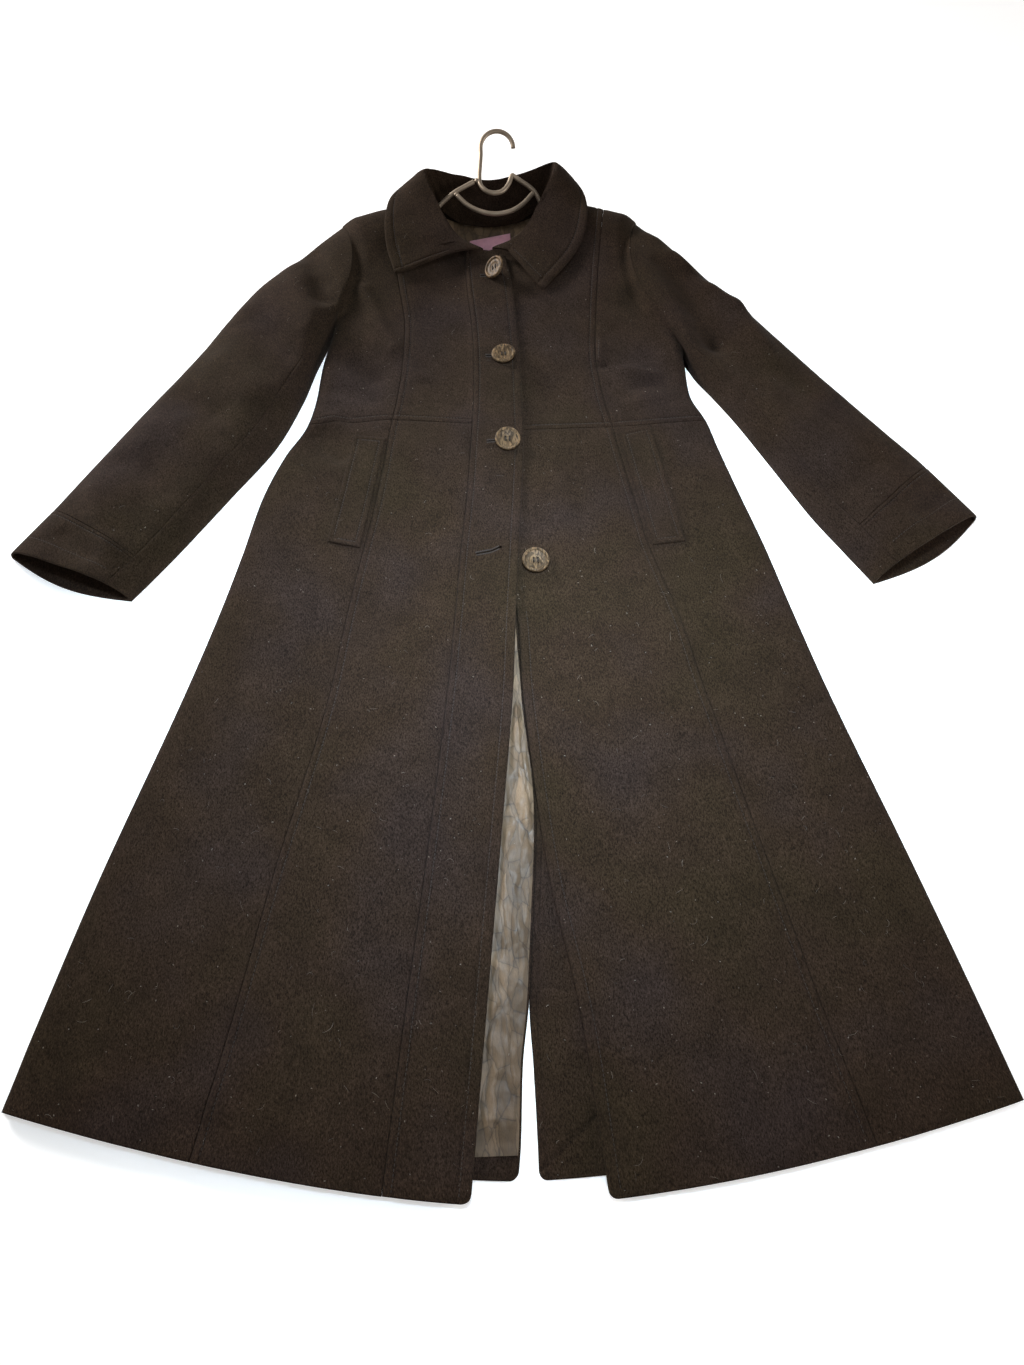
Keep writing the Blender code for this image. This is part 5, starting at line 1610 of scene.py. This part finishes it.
def lint():
    """Loose hairs and specks that cling to the wool, as one piece."""
    cloth = bpy.context.scene.coat_cloth
    tree = cloth_tree([n for n in MADE if n.startswith("cloth_")])
    stop = cloth_tree(["cloth_lining_skirt", "cloth_lining_neck", "cloth_neck_label"])
    draw = np.random.default_rng(77)
    parts = []
    made = 0
    while made < cloth.fibres:
        px = draw.uniform(-LINT_X, LINT_X)
        py = draw.uniform(*LINT_DOWN)
        if draw.uniform() > 0.35 + 0.65 * ease((py - 350) / 500):
            continue
        length = draw.uniform(3, 15) * draw.uniform(0.4, 1.0)
        heading = draw.uniform(0, 2 * math.pi)
        bend = draw.normal(0, 2.2)
        path = []
        for k in range(6):
            spot = land(tree, place(px, py, 0.0))
            if spot is None:
                break
            path.append(spot + np.array((0, 0, (0.12 + 0.5 * math.sin(math.pi * k / 5)) * MM)))
            heading += bend / 5
            px += length / 5 * math.cos(heading)
            py += length / 5 * math.sin(heading)
        made += 1
        if len(path) < 6:
            continue
        path = np.array(path)
        if np.abs(np.diff(path[:, 2])).max() > 0.0025:
            continue
        if stop.ray_cast(Vector(path[0]) - DOWNWARD * 0.001, DOWNWARD, 0.002)[0]:
            continue
        parts.append(tube_arrays(path, draw.uniform(0.05, 0.1), 4, False))
    for _ in range(cloth.specks):
        x = draw.uniform(-LINT_X, LINT_X)
        down = draw.uniform(*LINT_DOWN)
        size = draw.uniform(0.16, 0.42) * MM
        stretch = draw.uniform(1.0, 2.6)
        heading = draw.uniform(0, math.pi)
        spot = land(tree, place(x, down, 0.0))
        if spot is None or draw.uniform() > 0.4 + 0.6 * ease((down - 350) / 500):
            continue
        centre = spot + np.array((0, 0, 0.1 * MM))
        half = np.array((math.cos(heading), math.sin(heading), 0)) * size * stretch
        parts.append(bead(centre - half, centre + np.array((0, 0, size * 0.4)), centre + half, size))
    fine_piece("lint", parts, "lint")


def fill(tree, node, values):
    """Set a node's sockets; each value is a number, a colour or another node's output."""
    for key, value in values.items():
        if isinstance(value, bpy.types.NodeSocket):
            tree.links.new(value, node.inputs[key])
        else:
            node.inputs[key].default_value = value


def put(tree, kind, values=None, **settings):
    """Add a shader node with its settings and the values of its sockets."""
    made = tree.nodes.new(kind)
    for key, value in settings.items():
        setattr(made, key, value)
    fill(tree, made, values or {})
    return made


def blend(tree, factor, first, second, way="MIX"):
    """The output of two colours mixed by a factor."""
    made = put(tree, "ShaderNodeMix", {0: factor, 6: first, 7: second}, data_type="RGBA",
               blend_type=way)
    return made.outputs[2]


def times(tree, first, *others):
    """The output of several colours multiplied."""
    for other in others:
        first = blend(tree, 1.0, first, other, "MULTIPLY")
    return first


def ramp(tree, value, *stops):
    """The output of a colour ramp with (place, grey or colour) stops."""
    made = put(tree, "ShaderNodeValToRGB", {0: value})
    parts = made.color_ramp.elements
    while len(parts) < len(stops):
        parts.new(0.5)
    for part, (spot, colour) in zip(parts, stops):
        part.position = spot
        part.color = (colour, colour, colour, 1) if isinstance(colour, (int, float)) else (*colour, 1)
    return made.outputs[0]


def colour_of(name):
    """One of the coat's colours."""
    return tuple(getattr(bpy.context.scene.coat_colours, name))


def noise(tree, spots, scale, detail=3.0, rough=0.55):
    """A noise output in the object's own metres."""
    made = put(tree, "ShaderNodeTexNoise",
               {"Vector": spots, "Scale": scale, "Detail": detail, "Roughness": rough})
    return made.outputs[0]


def stretched(tree, spots, turn, scale):
    """Coordinates turned in the ground plane and stretched."""
    made = put(tree, "ShaderNodeMapping", {"Vector": spots, "Rotation": (0, 0, math.radians(turn)),
                                           "Scale": scale})
    return made.outputs[0]


def relief(tree, shader, strength, distance, height):
    """Let a height bend the shader's normal."""
    bump = put(tree, "ShaderNodeBump", {"Strength": strength, "Distance": distance, "Height": height})
    fill(tree, shader, {"Normal": bump.outputs[0]})


def wool_finish(tree, shader, spots):
    """Felted wool: mottled dark cloth with a short leaning nap."""
    tone = ramp(tree, noise(tree, spots, 6.5, 2.0, 0.5), (0.34, colour_of("wool_violet")),
                (0.5, colour_of("wool")), (0.66, colour_of("wool_olive")))
    cloud = ramp(tree, noise(tree, spots, 34.0, 4.0, 0.6), (0.3, 0.84), (0.7, 1.18))
    nap = noise(tree, stretched(tree, spots, 32, (1.0, 0.5, 1.0)), 820.0, 3.0, 0.7)
    cross = noise(tree, stretched(tree, spots, -48, (1.0, 0.5, 1.0)), 1500.0, 2.0, 0.7)
    grain = ramp(tree, nap, (0.34, 0.35), (0.68, 1.9))
    fine = ramp(tree, cross, (0.3, 0.65), (0.7, 1.4))
    fill(tree, shader, {"Base Color": times(tree, tone, cloud, grain, fine), "Roughness": 0.95,
                        "Specular IOR Level": 0.06, "Sheen Weight": 0.02, "Sheen Roughness": 0.6,
                        "Sheen Tint": (0.75, 0.62, 0.52, 1)})
    height = put(tree, "ShaderNodeMath", {0: nap, 1: cross}, operation="ADD").outputs[0]
    relief(tree, shader, 0.35, 0.00025, height)


def lining_finish(tree, shader, spots):
    """Taupe satin with fine threads and sharp small creases, with painted shade along the crease lines
    and painted light and shade on the facets between them.
    """
    cloud = ramp(tree, noise(tree, spots, 60.0, 4.0, 0.6), (0.3, 0.8), (0.7, 1.2))
    tone = times(tree, (*colour_of("lining"), 1), cloud)
    sway = put(tree, "ShaderNodeTexNoise", {"Vector": spots, "Scale": 52.0, "Detail": 4.0}).outputs[1]
    bent = put(tree, "ShaderNodeVectorMath", {0: sway, 1: (0.009, 0.009, 0.009), 2: spots},
               operation="MULTIPLY_ADD").outputs[0]
    rises = []
    for turn, scale in ((-16, 58.0), (21, 96.0)):
        lie = stretched(tree, bent, turn, (1.0, 0.3, 0.2))
        line = put(tree, "ShaderNodeTexVoronoi", {"Vector": lie, "Scale": scale},
                   feature="DISTANCE_TO_EDGE").outputs["Distance"]
        # Painted light and shade: each facet between the creases gets its own lighter or darker tone, as
        # if lit from a different side.
        painted_facet_shade = put(tree, "ShaderNodeTexVoronoi", {"Vector": lie, "Scale": scale}).outputs["Color"]
        # Painted shade: the colour darkens along the crease lines, where shadow falls in the valleys.
        tone = times(tree, tone, ramp(tree, line, (0.0, 0.5), (0.02, 0.86), (0.1, 1.0)),
                     ramp(tree, painted_facet_shade, (0.2, 0.8), (0.8, 1.2)))
        rises.append(ramp(tree, line, (0.0, 0.0), (0.25, 1.0)))
    threads = noise(tree, stretched(tree, spots, 4, (1.0, 0.05, 1.0)), 2600.0, 2.0, 0.6)
    tone = times(tree, tone, ramp(tree, threads, (0.3, 0.8), (0.7, 1.2)))
    gloss = ramp(tree, noise(tree, spots, 90.0, 3.0, 0.5), (0.3, 0.46), (0.7, 0.62))
    fill(tree, shader, {"Base Color": tone, "Roughness": gloss, "Specular IOR Level": 0.3})
    relief(tree, shader, 0.6, 0.002, blend(tree, 0.4, *rises))


def label_finish(tree, shader, spots):
    """A plain woven label with a fine rib."""
    rib = put(tree, "ShaderNodeTexWave", {"Vector": spots, "Scale": 320.0, "Distortion": 0.6,
                                          "Detail": 1.0}, bands_direction="Y").outputs[1]
    cloud = ramp(tree, noise(tree, spots, 120.0), (0.3, 0.88), (0.7, 1.1))
    tone = times(tree, (*colour_of("label"), 1), ramp(tree, rib, (0.0, 0.82), (1.0, 1.15)), cloud)
    fill(tree, shader, {"Base Color": tone, "Roughness": 0.55})
    relief(tree, shader, 0.4, 0.0002, rib)


def horn_finish(tree, shader, spots):
    """Dull dark horn with amber streaks."""
    grain = stretched(tree, spots, 25, (1.0, 0.25, 1.0))
    streak = put(tree, "ShaderNodeTexNoise", {"Vector": grain, "Scale": 260.0, "Detail": 5.0,
                                              "Distortion": 1.6}).outputs[0]
    horn = colour_of("horn")
    light = tuple(min(c * 2.6, 1.0) for c in horn)
    dark = tuple(c * 0.35 for c in horn)
    rough = ramp(tree, noise(tree, spots, 900.0, 2.0), (0.3, 0.42), (0.7, 0.56))
    fill(tree, shader, {"Base Color": ramp(tree, streak, (0.34, dark), (0.5, horn), (0.66, light)),
                        "Roughness": rough, "Specular IOR Level": 0.1})


def metal_finish(tree, shader, spots):
    """Satin metal tube with faint smudges and drawn lines."""
    smudge = noise(tree, spots, 55.0, 4.0, 0.6)
    tone = times(tree, (*colour_of("metal"), 1), ramp(tree, smudge, (0.3, 0.8), (0.7, 1.15)))
    fill(tree, shader, {"Base Color": tone, "Metallic": 0.6, "Specular IOR Level": 0.3,
                        "Roughness": ramp(tree, smudge, (0.3, 0.42), (0.7, 0.56))})
    relief(tree, shader, 0.12, 0.0002, noise(tree, spots, 1800.0, 2.0, 0.6))


def thread_finish(tree, shader, spots):
    """Matt sewing thread with a twist."""
    twist = put(tree, "ShaderNodeTexWave", {"Vector": spots, "Scale": 900.0, "Distortion": 1.0},
                bands_direction="DIAGONAL").outputs[1]
    tone = times(tree, (*colour_of("thread"), 1), ramp(tree, twist, (0.0, 0.7), (1.0, 1.4)))
    fill(tree, shader, {"Base Color": tone, "Roughness": 0.7})


def lint_finish(tree, shader, spots):
    """Pale grey-tan fibre with uneven brightness."""
    cloud = ramp(tree, noise(tree, spots, 30.0, 2.0), (0.35, 0.35), (0.65, 1.5))
    fill(tree, shader, {"Base Color": times(tree, (*colour_of("lint"), 1), cloud), "Roughness": 0.8})


def floor_finish(tree, shader, spots):
    """Pale even floor with a very faint grain and a glow of its own."""
    cloud = ramp(tree, noise(tree, spots, 3.0, 2.0), (0.3, 0.985), (0.7, 1.0))
    fill(tree, shader, {"Base Color": times(tree, (*colour_of("floor"), 1), cloud), "Roughness": 0.9,
                        "Emission Color": (1, 1, 1, 1),
                        "Emission Strength": bpy.context.scene.coat_light.floor_glow})


FINISHES = {
    "wool": ("wool felt", wool_finish),
    "lining": ("satin lining", lining_finish),
    "label": ("woven label", label_finish),
    "button": ("polished horn", horn_finish),
    "hanger": ("satin tube", metal_finish),
    "thread": ("sewing thread", thread_finish),
    "lint": ("lint fibre", lint_finish),
    "floor": ("pale floor", floor_finish),
}


def finish_of(name):
    """The material of a finish, made once."""
    key = "finish_" + name
    if key not in MADE:
        title, make = FINISHES[name]
        material = bpy.data.materials.new(title)
        material.use_nodes = True
        tree = material.node_tree
        spots = put(tree, "ShaderNodeTexCoord").outputs["Object"]
        make(tree, tree.nodes["Principled BSDF"], spots)
        MADE[key] = material
    return MADE[key]


class COAT_OT_back(bpy.types.Operator):
    """Lay down the two halves of the back with the vent between them"""
    bl_idname = "coat.back"
    bl_label = "Back"

    def execute(self, context):
        back_half("right")
        back_half("left")
        return {"FINISHED"}


class COAT_OT_fronts(bpy.types.Operator):
    """Make the bodice and skirt panels of both fronts"""
    bl_idname = "coat.fronts"
    bl_label = "Fronts"

    def execute(self, context):
        for side in ("right", "left"):
            side_bodice(side)
            skirt_panel("front_" + side + "_side_skirt", side + "_princess", side + "_side", True,
                        False, above_back)
        bodice("right", "band_seam", NECK_RIGHT, True)
        bodice("left", "left_edge", NECK_LEFT, False)
        skirt_panel("front_right_skirt", "band_seam", "right_princess", False, True, above_lining)
        skirt_panel("front_left_skirt", "left_edge", "left_princess", False, False, above_lining)
        return {"FINISHED"}


class COAT_OT_band(bpy.types.Operator):
    """Make the right front band with its four buttonholes"""
    bl_idname = "coat.band"
    bl_label = "Front band"

    def execute(self, context):
        front_band()
        return {"FINISHED"}


class COAT_OT_sleeves(bpy.types.Operator):
    """Make both sleeves with their cuffs"""
    bl_idname = "coat.sleeves"
    bl_label = "Sleeves"

    def execute(self, context):
        sleeve("right")
        sleeve("left")
        return {"FINISHED"}


class COAT_OT_collar(bpy.types.Operator):
    """Turn the collar down round the neck"""
    bl_idname = "coat.collar"
    bl_label = "Collar"

    def execute(self, context):
        collar()
        return {"FINISHED"}


class COAT_OT_welts(bpy.types.Operator):
    """Lay the pocket welts on the side skirts"""
    bl_idname = "coat.welts"
    bl_label = "Pocket welts"

    def execute(self, context):
        welt("right")
        welt("left")
        return {"FINISHED"}


class COAT_OT_lining(bpy.types.Operator):
    """Make the lining that shows in the vent and the neck"""
    bl_idname = "coat.lining"
    bl_label = "Lining"

    def execute(self, context):
        skirt_lining()
        neck_lining()
        return {"FINISHED"}


class COAT_OT_label(bpy.types.Operator):
    """Sew the bare label into the neck"""
    bl_idname = "coat.label"
    bl_label = "Neck label"

    def execute(self, context):
        neck_label()
        return {"FINISHED"}


class COAT_OT_buttons(bpy.types.Operator):
    """Turn the four buttons and thread them"""
    bl_idname = "coat.buttons"
    bl_label = "Buttons"

    def execute(self, context):
        for index in range(len(BUTTONS)):
            button(index)
        return {"FINISHED"}


class COAT_OT_hanger(bpy.types.Operator):
    """Bend the hanger tube"""
    bl_idname = "coat.hanger"
    bl_label = "Hanger"

    def execute(self, context):
        hanger()
        return {"FINISHED"}


class COAT_OT_stitching(bpy.types.Operator):
    """Sew the visible stitch lines and buttonhole edges"""
    bl_idname = "coat.stitching"
    bl_label = "Stitching"

    def execute(self, context):
        stitching()
        return {"FINISHED"}


class COAT_OT_lint(bpy.types.Operator):
    """Scatter hairs and specks over the wool"""
    bl_idname = "coat.lint"
    bl_label = "Lint"

    def execute(self, context):
        lint()
        return {"FINISHED"}


class COAT_OT_stage(bpy.types.Operator):
    """Set the floor, the light and the camera"""
    bl_idname = "coat.stage"
    bl_label = "Stage"

    def execute(self, context):
        scene = context.scene
        light = scene.coat_light
        mesh = bpy.data.meshes.new("floor")
        corners = [(x * FLOOR_REACH, y * FLOOR_REACH, 0)
                   for x, y in ((-1, -1), (1, -1), (1, 1), (-1, 1))]
        mesh.from_pydata(corners, [], [(0, 1, 2, 3)])
        mesh.materials.append(finish_of("floor"))
        ground = bpy.data.objects.new("floor", mesh)
        ground.location.z = -FLOOR_DROP
        scene.collection.objects.link(ground)
        world = bpy.data.worlds.new("studio")
        world.use_nodes = True
        background = world.node_tree.nodes["Background"]
        background.inputs["Color"].default_value = (1.0, 0.985, 0.97, 1)
        background.inputs["Strength"].default_value = light.sky
        scene.world = world
        for name, spot, aim, size, spread_angle, tint in LAMPS:
            lamp = bpy.data.lights.new(name + " lamp", "AREA")
            lamp.shape = "DISK"
            lamp.size = size
            lamp.spread = math.radians(spread_angle)
            lamp.energy = getattr(light, name + "_power")
            lamp.color = tint
            holder = bpy.data.objects.new(name + " lamp", lamp)
            holder.location = spot
            ray = Vector(aim) - Vector(spot)
            holder.rotation_euler = ray.to_track_quat("-Z", "Y").to_euler()
            scene.collection.objects.link(holder)
        lens = bpy.data.cameras.new("camera")
        lens.lens = LENS
        lens.sensor_width = 36
        lens.sensor_fit = "VERTICAL"
        lens.sensor_height = 36
        lens.clip_start = 0.01
        camera = bpy.data.objects.new("camera", lens)
        right = Vector(CAMERA_RIGHT).normalized()
        up = Vector(CAMERA_UP)
        back = right.cross(up).normalized()
        up = back.cross(right)
        basis = Matrix((right, up, back)).transposed().to_4x4()
        spot = place(CAMERA_X, CAMERA_DOWN, CAMERA_Z)
        camera.matrix_world = Matrix.Translation(Vector(spot)) @ basis
        scene.collection.objects.link(camera)
        scene.camera = camera
        scene.view_settings.view_transform = "Standard"
        return {"FINISHED"}


STEPS = (COAT_OT_back, COAT_OT_fronts, COAT_OT_band, COAT_OT_sleeves, COAT_OT_collar, COAT_OT_welts,
         COAT_OT_lining, COAT_OT_label, COAT_OT_buttons, COAT_OT_hanger, COAT_OT_stitching,
         COAT_OT_lint, COAT_OT_stage)
GROUPS = (CoatCloth, CoatColours, CoatLight)


class COAT_PT_panel(bpy.types.Panel):
    """Lists the steps that dress the coat"""
    bl_idname = "COAT_PT_panel"
    bl_label = "Long coat"
    bl_space_type = "VIEW_3D"
    bl_region_type = "UI"
    bl_category = "Coat"

    def draw(self, context):
        for group in (context.scene.coat_cloth, context.scene.coat_colours, context.scene.coat_light):
            box = self.layout.box()
            for name in group.__annotations__:
                box.prop(group, name)
        for step in STEPS:
            self.layout.operator(step.bl_idname)


def register():
    """Register the settings, the operators and the panel."""
    for group in GROUPS + STEPS + (COAT_PT_panel,):
        bpy.utils.register_class(group)
    bpy.types.Scene.coat_cloth = PointerProperty(type=CoatCloth)
    bpy.types.Scene.coat_colours = PointerProperty(type=CoatColours)
    bpy.types.Scene.coat_light = PointerProperty(type=CoatLight)


def unregister():
    """Take the settings, the operators and the panel away again."""
    del bpy.types.Scene.coat_light
    del bpy.types.Scene.coat_colours
    del bpy.types.Scene.coat_cloth
    for group in reversed(GROUPS + STEPS + (COAT_PT_panel,)):
        bpy.utils.unregister_class(group)


def main():
    """Dress the coat, one step after another."""
    register()
    for step in STEPS:
        group, action = step.bl_idname.split(".")
        getattr(getattr(bpy.ops, group), action)()


if __name__ == "__main__":
    main()
